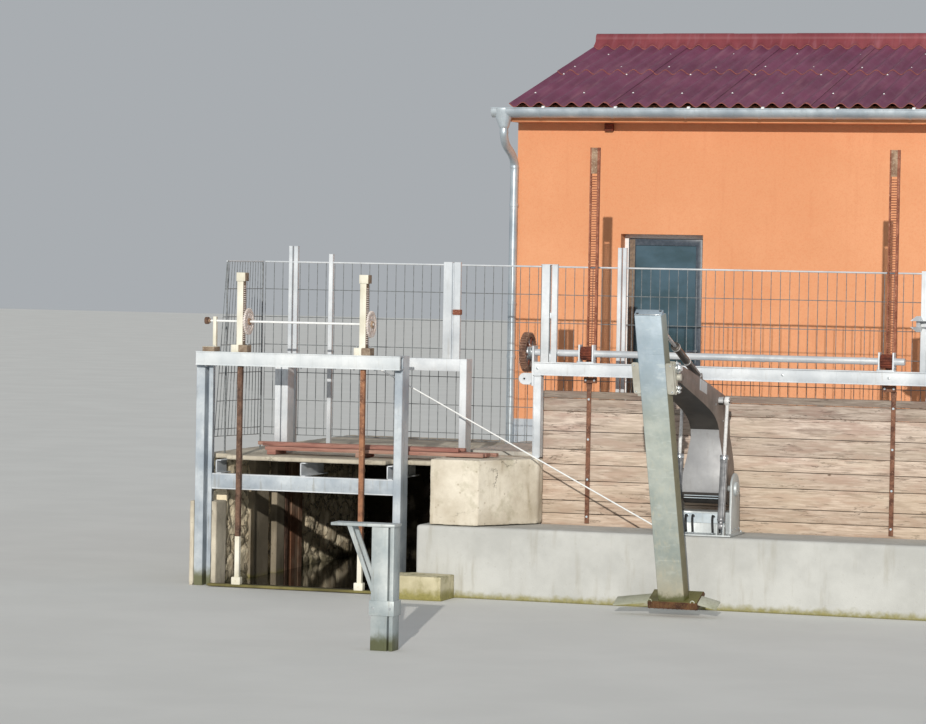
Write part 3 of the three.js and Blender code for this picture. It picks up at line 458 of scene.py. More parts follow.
# Near black that paints the shade inside holes and bores.
GAP_SHADE = plain_grain("gap_painted_shade", rgb(20, 18, 17), rgb(34, 30, 28), 0.8)


# Mesh building
def on_axis(axis, u, v, w):
    """The point at w along the axis whose two other coordinates, in X, Y, Z order, are u and v."""
    return {"X": (w, u, v), "Y": (u, w, v), "Z": (u, v, w)}[axis]


def area(points):
    return sum(a[0] * b[1] - b[0] * a[1] for a, b in zip(points, points[1:] + points[:1])) / 2


def trimmed(points, cut):
    """The outline with each corner cut off."""
    out = []
    count = len(points)
    for i, here in enumerate(points):
        before, after = Vector(points[i - 1]), Vector(points[(i + 1) % count])
        here = Vector(here)
        a, b = before - here, after - here
        if a.length < 1e-6 or b.length < 1e-6 or a.angle(b) > math.radians(150):
            out.append(tuple(here))
            continue
        out.append(tuple(here + a.normalized() * min(cut, a.length * 0.4)))
        out.append(tuple(here + b.normalized() * min(cut, b.length * 0.4)))
    return out


def inset(points, depth):
    sign = 1 if area(points) > 0 else -1
    out = []
    count = len(points)
    for i, here in enumerate(points):
        here = Vector(here)
        a = (here - Vector(points[i - 1])).normalized()
        b = (Vector(points[(i + 1) % count]) - here).normalized()
        na, nb = Vector((-a.y, a.x)) * sign, Vector((-b.y, b.x)) * sign
        middle = (na + nb).normalized()
        out.append(tuple(here + middle * depth / max(0.5, middle.dot(na))))
    return out


def arc(centre, radius, start, end, steps):
    return [(centre[0] + radius * math.cos(math.radians(start + (end - start) * i / steps)),
             centre[1] + radius * math.sin(math.radians(start + (end - start) * i / steps))) for i in range(steps + 1)]


def rounded(u0, u1, v0, v1, r):
    """A rectangle with rounded corners."""
    out = []
    for u, v, start in ((u1 - r, v1 - r, 0), (u0 + r, v1 - r, 90), (u0 + r, v0 + r, 180), (u1 - r, v0 + r, 270)):
        out += arc((u, v), r, start, start + 90, 5)
    return out


def circle(centre, radius, steps):
    return arc(centre, radius, 0, 360, steps)[:-1]


class Kit:
    """A mesh in the making."""

    def __init__(self, *looks):
        self.mesh = bmesh.new()
        self.looks = looks
        self.pose = Matrix.Identity(4)

    def point(self, p):
        return self.mesh.verts.new(at(*(self.pose @ Vector(p))))

    def face(self, corners, look):
        made = self.mesh.faces.new(corners)
        made.material_index = look
        return made

    def loft(self, rings, look=0, closed=False):
        """Skin over rings of points of one count; the first and last are capped unless closed."""
        rows = [[self.point(p) for p in ring] for ring in rings]
        count = len(rows[0])
        for a, b in zip(rows, rows[1:] + (rows[:1] if closed else [])):
            for i in range(count):
                j = (i + 1) % count
                self.face((a[i], a[j], b[j], b[i]), look)
        if not closed:
            self.face(rows[0][::-1], look)
            self.face(rows[-1], look)

    def prism(self, outline, axis, low, high, look=0, bevel=3.0):
        outline = list(outline)
        if bevel:
            bevel = min(bevel, (high - low) * 0.3)
            outline = trimmed(outline, bevel)
            inner = inset(outline, bevel * 0.7)
            rings = [(inner, low), (outline, low + bevel), (outline, high - bevel), (inner, high)]
        else:
            rings = [(outline, low), (outline, high)]
        self.loft([[on_axis(axis, u, v, w) for u, v in ring] for ring, w in rings], look)

    def box(self, x0, x1, y0, y1, z0, z1, look=0, bevel=3.0):
        bevel = min(bevel, (x1 - x0) * 0.3, (y1 - y0) * 0.3)
        self.prism([(x0, y0), (x1, y0), (x1, y1), (x0, y1)], "Z", z0, z1, look, bevel)

    def lathe(self, profile, centre, axis, look=0, sides=24):
        """profile is [(radius, place along the axis)], the axis through centre, its two other coordinates."""
        rings = [[on_axis(axis, u, v, w) for u, v in circle(centre, max(r, 0.01), sides)] for r, w in profile]
        self.loft(rings, look)

    def disc(self, centre, radius, axis, low, high, look=0, sides=24, bevel=2.0):
        bevel = min(bevel, radius * 0.3, (high - low) * 0.3)
        self.lathe([(radius - bevel, low), (radius, low + bevel), (radius, high - bevel), (radius - bevel, high)],
                   centre, axis, look, sides)

    def bolt(self, centre, axis, face, out, look=0, size=12.0):
        """A washer, nut and stud on the plane at face, standing out along the axis to the side out (1 or -1)."""
        for radius, a, b, sides in ((size * 1.35, -1, size * 0.25, 12), (size, size * 0.2, size, 6),
                                    (size * 0.5, size * 0.9, size * 1.6, 8)):
            low, high = sorted((face + out * a, face + out * b))
            self.disc(centre, radius, axis, low, high, look, sides, bevel=size * 0.1)

    def tube(self, path, radius, look=0, sides=12, closed=False):
        path = [Vector(p) for p in path]
        count = len(path)
        side = None
        rings = []
        for i, here in enumerate(path):
            ahead = path[(i + 1) % count] if closed or i + 1 < count else here
            behind = path[i - 1] if closed or i else here
            forward = (ahead - behind).normalized()
            if side is None:
                side = forward.orthogonal().normalized()
            side = (side - forward * side.dot(forward)).normalized()
            other = forward.cross(side)
            rings.append([here + (side * math.cos(2 * math.pi * j / sides) + other * math.sin(2 * math.pi * j / sides))
                          * radius for j in range(sides)])
        self.loft(rings, look, closed)

    def slab(self, columns, thick, look=0, rim=None):
        """A sheet through the grid of top points, columns of rows, that thick downwards.

        rim is the looks of its low end and of its two side edges.
        """
        end_look, side_look = rim or (look, look)
        top = [[self.point(p) for p in row] for row in columns]
        under = [[self.point((p[0], p[1], p[2] - thick)) for p in row] for row in columns]
        wide, long = len(top), len(top[0])
        for i in range(wide - 1):
            for j in range(long - 1):
                shown = end_look if j == 0 else look
                self.face((top[i][j], top[i + 1][j], top[i + 1][j + 1], top[i][j + 1]), shown)
                self.face((under[i][j], under[i][j + 1], under[i + 1][j + 1], under[i + 1][j]), look)
        edge = [(i, 0) for i in range(wide)] + [(wide - 1, j) for j in range(1, long)]
        edge += [(i, long - 1) for i in range(wide - 2, -1, -1)] + [(0, j) for j in range(long - 2, 0, -1)]
        for (a, b), (c, d) in zip(edge, edge[1:] + edge[:1]):
            shown = end_look if b == d == 0 else side_look if a == c else look
            self.face((top[a][b], under[a][b], under[c][d], top[c][d]), shown)

    def carry(self, node, bevel=4.0, look=0, segments=2):
        """The CAD node's own solid with its sharp edges rounded."""
        part = bmesh.new()
        part.from_mesh(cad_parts[node].data)
        bmesh.ops.remove_doubles(part, verts=part.verts, dist=1e-5)
        bmesh.ops.dissolve_limit(part, angle_limit=math.radians(1), verts=part.verts, edges=part.edges)
        if bevel:
            sharp = [e for e in part.edges if len(e.link_faces) == 2 and e.calc_face_angle(0) > math.radians(32)]
            bmesh.ops.bevel(part, geom=sharp, offset=bevel / 1000, segments=segments, affect="EDGES",
                            clamp_overlap=True, profile=0.5)
        for f in part.faces:
            f.material_index = look
        mesh = bpy.data.meshes.new("carried")
        part.to_mesh(mesh)
        part.free()
        self.mesh.from_mesh(mesh)
        bpy.data.meshes.remove(mesh)

    def repaint(self, look, test):
        """Gives the look to each face whose normal and middle, in metres, pass the test."""
        self.mesh.normal_update()
        for f in self.mesh.faces:
            if test(f.normal, f.calc_center_median()):
                f.material_index = look

    def piece(self, name, body="station", nodes=(), sharp=35):
        bmesh.ops.recalc_face_normals(self.mesh, faces=self.mesh.faces)
        mesh = bpy.data.meshes.new(name)
        for f in self.mesh.faces:
            f.smooth = True
        self.mesh.to_mesh(mesh)
        self.mesh.free()
        mesh.set_sharp_from_angle(angle=math.radians(sharp))
        for look in self.looks:
            mesh.materials.append(look)
        shown = bpy.data.objects.new(name, mesh)
        bpy.context.scene.collection.objects.link(shown)
        if nodes:
            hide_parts(*nodes)
        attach(shown, body)
        return shown


def weather(shown, voxel, wear, grain):
    """Remeshes a concrete piece evenly and wears its surface back by noise, in metres."""
    step = shown.modifiers.new("even", "REMESH")
    step.mode = "VOXEL"
    step.voxel_size = voxel
    mesh = bpy.data.meshes.new_from_object(shown.evaluated_get(bpy.context.evaluated_depsgraph_get()))
    shown.modifiers.clear()
    old = shown.data
    mesh.name = old.name
    shown.data = mesh
    bpy.data.meshes.remove(old)
    normals = [v.normal.copy() for v in mesh.vertices]
    for v, normal in zip(mesh.vertices, normals):
        if v.co.z < 0.004:
            v.co.z = max(0.0, v.co.z)
            continue
        rough = 0.6 * noise.noise(v.co / grain) + 0.4 * noise.noise(v.co / (grain * 0.3))
        v.co -= normal * wear * (0.5 + 0.5 * rough)
    for f in mesh.polygons:
        f.use_smooth = True
    mesh.update()
    return shown


def dress(look, *nodes):
    """Gives CAD nodes whose shape is right their material."""
    for node in nodes:
        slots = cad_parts[node].material_slots
        for place in slots:
            place.material = look


# Powerhouse
HOUSE_FRONT = 3350
ROOF = {"eave": 3020, "ridge": 6475, "eave_top": 5273, "ridge_top": 6124, "thick": 121, "left": -530, "right": 5930}
WAVE = {"pitch": 189.6, "swell": 26, "sheet": 6 * 189.6, "crest": -371, "first_lap": 631}
RUN = ROOF["ridge"] - ROOF["eave"]
SLOPE = (ROOF["ridge_top"] - ROOF["eave_top"]) / RUN


def roof_top(run, x, lift=0.0, fade=1.0):
    """Height of the corrugated face; fade flattens the waves to their crests."""
    phase = 2 * math.pi * (x - WAVE["crest"]) / WAVE["pitch"]
    return ROOF["eave_top"] + SLOPE * run - WAVE["swell"] * (1 - math.cos(phase)) * fade + lift


def roof_half(name, node, place):
    """One slope; place turns the run up the slope into Y."""
    kit = Kit(ROOFING, SOFFIT, WHITE, ROOF_EDGE, ROOF_LAP_SHADOW)
    left, right, pitch = ROOF["left"], ROOF["right"], WAVE["pitch"]
    edges = [left, WAVE["first_lap"]]
    while edges[-1] + WAVE["sheet"] < right:
        edges.append(edges[-1] + WAVE["sheet"])
    edges.append(right)
    for course, (low, high, lift) in enumerate(((0, 1960, -9), (1820, RUN - 6, 0))):
        for number, (start, end) in enumerate(zip(edges, edges[1:])):
            lap = max(start - 60, left)
            steps = max(2, round((end - lap) / (pitch / 14)))
            rows = 8
            sag = [2.0 * noise.noise(Vector((number, course, j * 0.7))) for j in range(rows + 1)]
            grid = []
            for i in range(steps + 1):
                x = lap + (end - lap) * i / steps
                raise_by = lift - 7 + 7 * i / steps
                column = []
                for run, dip in [(low, 0), (low + 16, 0)] + [(low + (high - low) * j / rows, j) for j in range(1, rows + 1)]:
                    column.append((x, place(run), roof_top(run, x, raise_by + sag[dip])))
                grid.append(column)
            # Low ends take the edge tone; side edges take the dark tone that paints the lap shadow.
            kit.slab(grid, 7, 0, rim=(3, 4))
    hollow = 2 * WAVE["swell"] + 22
    under = [(place(150), ROOF["eave_top"] + SLOPE * 150 - hollow), (place(RUN - 10), ROOF["ridge_top"] - hollow),
             (place(RUN - 2), ROOF["ridge_top"] - ROOF["thick"]), (place(0), ROOF["eave_top"] - ROOF["thick"]),
             (place(0), ROOF["eave_top"] - 84), (place(150), ROOF["eave_top"] - 84)]
    kit.prism(under, "X", left + 6, right - 6, 1, 0)
    for crest in range(int((right - WAVE["crest"]) / pitch) + 1):
        x = WAVE["crest"] + crest * pitch
        for run, every in ((480, 3), (1560, 4), (1980, 3), (2750, 4)):
            if (crest * 5 + run // 10) % every == 0:
                run += rng.uniform(-30, 30)
                z = roof_top(run, x, -8)
                kit.lathe([(11, z - 3), (11, z + 1), (8, z + 3), (7, z + 7), (3, z + 9)], (x, place(run)), "Z", 2, 10)
    kit.piece(name, "station", [node])


def ridge_cap():
    kit = Kit(CAP, ROOF_EDGE)
    left, right, ridge, top = (ROOF[key] for key in ("left", "right", "ridge", "ridge_top"))
    piece_length = 820
    start = left
    number = 0
    while start < right - 1:
        end = min(start + piece_length, right)
        lap = min(end + 50, right)
        lift = 2.5 if number % 2 else 0
        for sign in (-1, 1):
            steps = max(4, round((lap - start) / (WAVE["pitch"] / 14)))
            grid = []
            for i in range(steps + 1):
                x = start + (lap - start) * i / steps
                grid.append([(x, ridge + sign * off, roof_top(RUN - off, x, 6 + lift + rise, fade))
                             for off, rise, fade in ((150, 0, 1.0), (142, 0, 0.95), (122, 3, 0.7), (102, 8, 0.35),
                                                     (85, 16, 0.1), (70, 27, 0), (58, 42, 0))])
            kit.slab(grid, 8, 0, rim=(1, 0))
        roll = arc((ridge, top + 45), 66 + lift, -25, 205, 22)
        kit.prism(roll, "X", start, lap, 0, 0)
        start = end
        number += 1
    kit.piece("ridge_cap_rolled", "station", ["ridge_cap"])


GUTTER = {"y": 2940, "z": 5160, "r": 80, "flange": 30, "left": -690, "right": 5960}


def gutter():
    kit = Kit(ZINC, WHITE)
    y, z, r, flange, left, right = (GUTTER[key] for key in ("y", "z", "r", "flange", "left", "right"))
    rim = z + 24
    shell = [(y - r, rim)] + arc((y, z), r, 180, 360, 18) + [(y + r, z + flange), (y + r - 4, z + flange)]
    shell += arc((y, z), r - 4, 360, 180, 18) + [(y - r + 4, rim)]
    kit.prism(shell, "X", left, right, 0, 0)
    kit.tube([(left, y - r + 4, rim), (right, y - r + 4, rim)], 8, 0, 10)
    for x in (left, right - 5):
        kit.prism([(y - r + 1, rim)] + arc((y, z), r - 1, 180, 360, 18) + [(y + r - 1, rim)], "X", x, x + 5, 0, 0)
    for x in range(-85, right - 100, 830):
        strap = arc((y, z), r + 4, 180, 350, 16) + arc((y, z), r, 350, 180, 16)
        kit.prism(strap, "X", x - 60, x - 35, 0, 0)
        kit.box(x - 14, x + 14, y - r - 4, y + r, rim + 2, rim + 7, 1, 0)
        kit.prism([(y - r - 5, rim + 2), (y - r + 34, rim + 2), (y - r + 34, rim + 26), (y - r + 8, rim + 22)], "X",
                  x - 16, x + 16, 1, 2)
    kit.piece("gutter_half_round", "station", ["gutter"])


def eave_soffit():
    kit = Kit(SOFFIT_PAINT, SOFFIT)
    kit.carry("eave_soffit", 4)
    kit.piece("eave_soffit_painted", "station", ["eave_soffit"])
    kit = Kit(RUST)
    kit.box(503, 600, 3290, 3352, 4950, 5041, 0, 6)
    kit.piece("eave_bracket", "station")


def smooth_path(points, per=6):
    """Catmull-Rom points through a path."""
    pts = [Vector(p) for p in points]
    pts = [pts[0] * 2 - pts[1]] + pts + [pts[-1] * 2 - pts[-2]]
    out = []
    for i in range(1, len(pts) - 2):
        a, b, c, d = pts[i - 1:i + 3]
        for s in range(per):
            t = s / per
            out.append(0.5 * ((2 * b) + (c - a) * t + (2 * a - 5 * b + 4 * c - d) * t * t
                              + (3 * b - a - 3 * c + d) * t * t * t))
    out.append(pts[-2])
    return out


def downpipe():
    kit = Kit(ZINC)
    y, neck_x, mouth_x, pipe_x, radius = GUTTER["y"], -556, -571, -541, 46
    hopper = [(4960, radius, radius, neck_x), (4975, 57, 56, neck_x), (4990, 60, 58, neck_x), (5150, 117, 88, mouth_x),
              (5168, 121, 92, mouth_x), (5184, 121, 92, mouth_x), (5186, 117, 88, mouth_x)]
    kit.loft([[(x + a * math.cos(2 * math.pi * i / 32), y + b * math.sin(2 * math.pi * i / 32), z) for i in range(32)]
              for z, a, b, x in hopper], 0)
    wall = HOUSE_FRONT - 50
    route = smooth_path([(neck_x, y, 4970), (neck_x, y, 4890), (neck_x, y + 82, 4782), (pipe_x, wall - 90, 4670),
                         (pipe_x, wall, 4560), (pipe_x, wall, 4380)], 7)
    kit.tube(route, radius, 0, 24)
    kit.tube([(pipe_x, wall, 4400), (pipe_x, wall, 0)], radius - 0.5, 0, 24)
    kit.disc((neck_x, y), radius + 4, "Z", 4905, 4925, 0, 24)
    for low in (4530, 3000, 1000):
        kit.disc((pipe_x, wall), radius + 3.5, "Z", low, low + 30, 0, 24)
    for low in (4100, 2400, 600):
        kit.disc((pipe_x, wall), radius + 5, "Z", low, low + 32, 0, 24)
        kit.box(pipe_x - 8, pipe_x + 8, wall + 38, HOUSE_FRONT + 2, low + 6, low + 26, 0, 2)
    kit.piece("downpipe_bent", "station", ["downpipe"])


def door():
    kit = Kit(WHITE, GAP_SHADE)
    kit.carry("door_frame", 3)
    kit.piece("door_frame_shown", "station", ["door_frame"])
    # The leaf's dark tone is partly its paint and partly painted shade of the recess.
    kit = Kit(DOOR_DARK, BROWN_TRIM, BRIGHT)
    kit.carry("door_leaf", 3)
    kit.box(757, 818, 3527, 3531, 1512, 3754, 1, 1)
    for z in (1700, 3560):
        kit.disc((2520, z), 1, "Y", 3526, 3530, 2, 6)
    kit.piece("door_leaf_shown", "door", ["door_leaf"])
    kit = Kit(BLIND)
    z = 1590
    while z < 3670:
        kit.box(1446, 1512, 3576, 3584, z, z + 19, 0, 0)
        z += 27
    kit.piece("door_blind", "door")
    dress(GLASS, "door_glass")


def walls():
    dress(STUCCO, "front_wall_left", "front_wall_right", "front_wall_over_door", "back_wall", "left_gable_wall",
          "right_gable_wall")
    dress(STUCCO, "house_floor")
    dress(CONCRETE, "house_base", "channel_deck")


# Intake concrete
def worn(name, node, look, voxel, wear, grain):
    kit = Kit(look)
    kit.carry(node, 0)
    shown = kit.piece(name, "station", [node])
    return weather(shown, voxel, wear, grain)


def concrete_work():
    worn("breast_wall_worn", "breast_wall", BREAST, 0.03, 0.006, 0.25)
    worn("left_pier_worn", "left_pier", PIER, 0.025, 0.016, 0.16)
    worn("right_pier_worn", "right_pier", PIER, 0.028, 0.016, 0.16)
    worn("front_plinth_worn", "front_plinth", PLINTH, 0.015, 0.014, 0.12)
    worn("left_abutment_worn", "left_abutment", SLAB, 0.016, 0.012, 0.15)
    worn("sluice_deck_worn", "sluice_deck", SLAB, 0.019, 0.008, 0.12)
    rubble()
    channel()


def channel():
    """Posts and boards that hold the bank's rubble under the deck, and the wet floor."""
    kit = Kit(STONE_POST, RUST_STEM, SOFFIT)
    face = -2725
    for y0, y1, out in ((1000, 1420, 34), (1620, 1870, 46)):
        kit.box(face - 60, face + out, y0, y1, 0, 1336, 0, 12)
    kit.box(face - 20, face + 40, 1905, 1990, 0, 1336, 1, 4)
    for i in range(4):
        y = 2012 + i * 122
        kit.box(face - 30, face + 14 + rng.uniform(0, 10), y, y + 116, 0, 1330 - rng.uniform(0, 40), 2, 4)
    kit.piece("channel_posts_and_boards", "station")
    dress(WET, "channel_invert", "channel_end_wall")


def rubble():
    shown = worn("rubble_wall_rough", "rubble_wall", ROCK, 0.024, 0.0, 0.2)
    mesh = shown.data
    normals = [v.normal.copy() for v in mesh.vertices]
    for v, normal in zip(mesh.vertices, normals):
        if v.co.z < 0.004 or v.co.z > 1.325:
            v.co.z = max(0.0, v.co.z)
            continue
        cell = Vector((v.co.x / 0.4, v.co.y / 0.46, v.co.z / 0.34)) + noise.noise_vector(v.co / 0.2) * 0.25
        near, _ = noise.voronoi(cell)
        edge = min(1.0, (near[1] - near[0]) * 4)
        bulge = 0.028 * (1 - edge) + 0.03 * (0.5 + 0.5 * noise.noise(v.co / 0.3))
        bulge += 0.016 * (0.5 + 0.5 * noise.noise(v.co / 0.07))
        v.co -= normal * bulge
        v.co.z = max(0.001, v.co.z)
    mesh.update()


# Main gate
def timber_gate():
    kit = Kit(PLANKS, RUST_PALE)
    left, right, front, back = 590, 4810, 883, 995
    for high, low in zip(PLANK_TOPS, PLANK_TOPS[1:] + [700]):
        grid_front = []
        steps = 60
        lean = rng.uniform(-2.5, 2.5)
        rings = []
        for i in range(steps + 1):
            x = left + (right - left) * i / steps
            wob = 1.6 * noise.noise(Vector((x / 700, high / 90, 0)))
            worn_top = 2.2 * (0.5 + noise.noise(Vector((x / 160, high / 50, 5))))
            y0 = front + 4 + wob + lean * 0.5
            z0, z1 = low + 3, high - 3 - worn_top
            rings.append([(x, y0 + 3, z0), (x, y0, z0 + 6), (x, y0 + wob * 0.4, (z0 + z1) / 2), (x, y0, z1 - 6),
                          (x, y0 + 3, z1), (x, back, z1), (x, back, z0)])
        kit.loft(rings, 0)
    for x in (1900, 3500):
        kit.box(x, x + 70, back - 12, back, 705, 2137, 1, 2)
    kit.piece("gate_planks", "gate", ["timber_gate"])


def racks():
    for side, shift, strap in (("left", 0, 26), ("right", 3170, 84)):
        kit = Kit(RUST_RACK, RUST_PALE, GALVANISED, RUST_STRAP)
        x = 1066 + shift
        kit.box(x, x + 15, 838, 878, 2290, 4690, 0, 2)
        kit.box(x + 79, x + 104, 838, 878, 2290, 4690, 0, 2)
        kit.box(x + 2, x + 102, 862, 877, 4420, 4689, 1, 2)
        kit.box(x + 10, x + 84, 840, 876, 4418, 4688, 1, 3)
        z = 2300
        while z < 4405:
            kit.box(x + 10, x + 84, 839, 876, z, z + 11, 0, 2)
            z += 26
        kit.box(x - 26, x + 109, 838, 883, 2230, 2292, 3, 4)
        mid = x + strap
        kit.box(mid - 23, mid + 23, 867.5, 883, 760, 2240, 3, 2)
        kit.prism([(mid - 32, 2232), (mid - 23, 2120), (mid + 23, 2120), (mid + 32, 2232)], "Y", 868, 883, 3, 2)
        for bx, bz in ((x - 4, 2262), (x + 90, 2262), (mid, 2060), (mid, 1640), (mid, 1220), (mid, 830)):
            face = 838 if bz > 2240 else 867.5
            kit.disc((bx, bz), 13, "Y", face - 5, face + 1, 2, 6, 1)
        kit.piece(f"{side}_rack_ladder", "gate", [f"{side}_rack"])


def hoist_frame():
    kit = Kit(LIGHT_STEEL, GALVANISED, BRIGHT, GAP_SHADE)
    left, right, front, back, low, high = 535, 4865, 680, 800, 2303, 2443
    kit.box(left, right, front, back, high - 11, high, 0, 2)
    kit.box(left, right, front, back, low, low + 11, 0, 2)
    kit.box(left, right, front + 14, front + 24, low + 5, high - 5, 0, 1)
    for x in (540, 1560, 2660, 3760, 4850):
        kit.box(x, x + 9, front + 12, back - 4, low + 8, high - 8, 0, 1)
    kit.prism([(690, 2190), (840, 2190), (840, 2610), (690, 2610)], "X", 515, 535, 0, 3)
    kit.prism([(521, 2200), (521, 2324)] + arc((420, 2262), 62, 90, 270, 18), "Y", 748, 772, 0, 3)
    kit.disc((420, 2262), 24, "Y", 744, 776, 0, 24)
    # A black disc paints the shade inside the lug's bore.
    kit.disc((420, 2262), 11, "Y", 742, 778, 3, 16)
    for y, z in ((705, 2215), (825, 2215), (705, 2585), (825, 2585)):
        kit.bolt((y, z), "X", 515, -1, 2, 11)
    for x in (607, 4793):
        sign = 1 if x < 2700 else -1
        a0, a1 = sorted((x, x + sign * 98))
        b0, b1 = sorted((x + sign * 113, x + sign * 175))
        kit.box(a0, a1, front, front + 8, high, 3465, 0, 2)
        kit.box(a0, a0 + 8, front, front + 45, high, 3465, 0, 2)
        kit.box(a1 - 8, a1, front, front + 45, high, 3465, 0, 2)
        kit.box(b0, b1, front + 5, front + 48, high, 3465, 0, 3)
        kit.box(a0 + 2, b1, front + 16, front + 40, high + 2, high + 90, 0, 2)
        kit.box(a1 - 4, b0 + 4, front + 12, front + 40, 2900, 2960, 0, 2)
        kit.box(a0 - 2, b1 + 2, front - 1, front + 50, 3458, 3465, 0, 1)
    for x in (577, 1900, 3200, 4300):
        kit.bolt((x, 2375), "Y", front + 14, -1, 2, 10)
    kit.piece("hoist_beam_steel", "station", ["hoist_beam"])
    for side, x0 in (("left", 536), ("right", 4780)):
        kit = Kit(LIGHT_STEEL, BRIGHT)
        x1 = x0 + 84
        kit.box(x0, x0 + 8, 690, 790, 1437, 2303, 0, 2)
        kit.box(x1 - 8, x1, 690, 790, 1437, 2303, 0, 2)
        kit.box(x0 + 2, x1 - 2, 704, 714, 1437, 2303, 0, 1)
        kit.box(x0, x1, 690, 790, 1437, 1449, 0, 2)
        kit.box(x0, x1, 690, 790, 2291, 2303, 0, 2)
        kit.piece(f"{side}_gate_post_steel", "station", [f"{side}_gate_post"])


def toothed(centre, root, tip, teeth, width=(0.3, 0.42, 0.78, 0.9)):
    out = []
    for i in range(teeth):
        for part, radius in ((0, root), (width[0], root), (width[1], tip), (width[2], tip), (width[3], root)):
            angle = 2 * math.pi * (i + part) / teeth
            out.append((centre[0] + radius * math.cos(angle), centre[1] + radius * math.sin(angle)))
    return out


def ring_plate(kit, outer, inner, axis, low, high, look=0):
    """A plate with a hole: two outlines of one count."""
    kit.loft([[on_axis(axis, u, v, w) for u, v in ring] for ring, w in
              ((outer, low), (outer, high), (inner, high), (inner, low))], look, closed=True)


def hoist_moving():
    centre = (765, 2541)
    kit = Kit(SHAFT_STEEL, RUST, BRIGHT)
    kit.disc(centre, 36, "X", 486, 4451, 0, 32, 3)
    kit.disc(centre, 28, "X", 395, 500, 2, 28, 3)
    for shift in (0, 3170):
        kit.prism(toothed(centre, 58, 71.5, 14), "X", 1036 + shift, 1156 + shift, 1, 1)
        kit.disc(centre, 44, "X", 1031 + shift, 1161 + shift, 1, 20)
    for x in (640, 1900, 2950, 4000):
        kit.disc(centre, 39, "X", x, x + 50, 0, 28)
    kit.piece("hoist_shaft_turned", "hoist", ["hoist_shaft"])
    kit = Kit(RUST_RIM, ARM_GREY, BRIGHT, RUST)
    sides = 40
    outer = toothed(centre, 190, 207.5, sides, (0.3, 0.42, 0.78, 0.9))
    inner = circle(centre, 160, len(outer))
    ring_plate(kit, outer, inner, "X", 412, 482, 0)
    kit.disc(centre, 164, "X", 432, 462, 1, 48)
    for i in range(6):
        angle = math.radians(60 * i + 12)
        a = (centre[0] + 44 * math.cos(angle), centre[1] + 44 * math.sin(angle))
        b = (centre[0] + 162 * math.cos(angle), centre[1] + 162 * math.sin(angle))
        side = (-7 * math.sin(angle), 7 * math.cos(angle))
        rib = [(a[0] - side[0], a[1] - side[1]), (b[0] - side[0], b[1] - side[1]),
               (b[0] + side[0], b[1] + side[1]), (a[0] + side[0], a[1] + side[1])]
        kit.prism(rib, "X", 418, 476, 3, 2)
    kit.disc(centre, 52, "X", 410, 486, 3, 28)
    kit.lathe([(90, 464), (88, 470), (66, 484), (56, 498), (54, 504), (40, 505)], centre, "X", 2, 32)
    kit.disc(centre, 40, "X", 400, 414, 2, 28)
    kit.piece("gear_wheel_cut", "hoist", ["gear_wheel"])
    for side, shift in (("left", 0), ("right", 3170)):
        kit = Kit(LIGHT_STEEL, BRIGHT)
        kit.carry(f"{side}_shaft_bearing", 2)
        for x, out in ((1015 + shift, -1), (1177 + shift, 1)):
            kit.disc(centre, 44, "X", min(x, x + out * 9), max(x, x + out * 9), 0, 24)
            for dy in (-34, 24):
                kit.bolt((centre[0] + dy, 2480), "X", x, out, 1, 8)
        for x in (1010 + shift, 1182 + shift):
            kit.bolt((x, 697), "Z", 2455, 1, 1, 8)
        kit.piece(f"{side}_shaft_bearing_plates", "station", [f"{side}_shaft_bearing"])


# Rack cleaner
PIVOT = (420, 1212)
TIP = (-1420, 2440)
ARM_X = 2500


def hose(kit, points, radius=11, look=0, per=6):
    kit.tube(smooth_path(points, per), radius, look, 10)


def arm_pedestal():
    kit = Kit(PEDESTAL_GREY, BRIGHT, RUBBER, GALVANISED)
    kit.carry("arm_pedestal", 4)
    for x in (2180, 2820):
        for y in (70, 600):
            kit.bolt((x, y), "Z", 760, 1, 1, 13)
    for x, out in ((2178, -1), (2822, 1)):
        kit.disc(PIVOT, 58, "X", min(x, x + out * 4), max(x, x + out * 4), 0, 32)
        for angle in range(30, 360, 60):
            a = math.radians(angle)
            kit.disc((PIVOT[0] + 48 * math.cos(a), PIVOT[1] + 48 * math.sin(a)), 8, "X",
                     min(x, x + out * 9), max(x, x + out * 9), 1, 6, 1)
    for x, out in ((2200, -1), (2800, 1)):
        for y, z in ((300, 800), (440, 800), (580, 800)):
            kit.disc((y, z), 12, "X", min(x, x + out * 10), max(x, x + out * 10), 1, 6, 1)
    for i, x in enumerate((2330, 2400, 2610, 2680)):
        hose(kit, [(x, 290, 930), (x, 240, 935), (x + 10, 190, 880), (x + 16, 185, 800), (x + 14, 200, 768)], 12, 2)
        kit.disc((x, 930), 17, "Y", 284, 304, 1, 6, 1)
        kit.disc((x + 14, 200), 17, "Z", 759, 775, 1, 6, 1)
    kit.box(2300, 2720, 293, 303, 860, 960, 3, 3)
    kit.piece("arm_pedestal_shown", "station", ["arm_pedestal"])


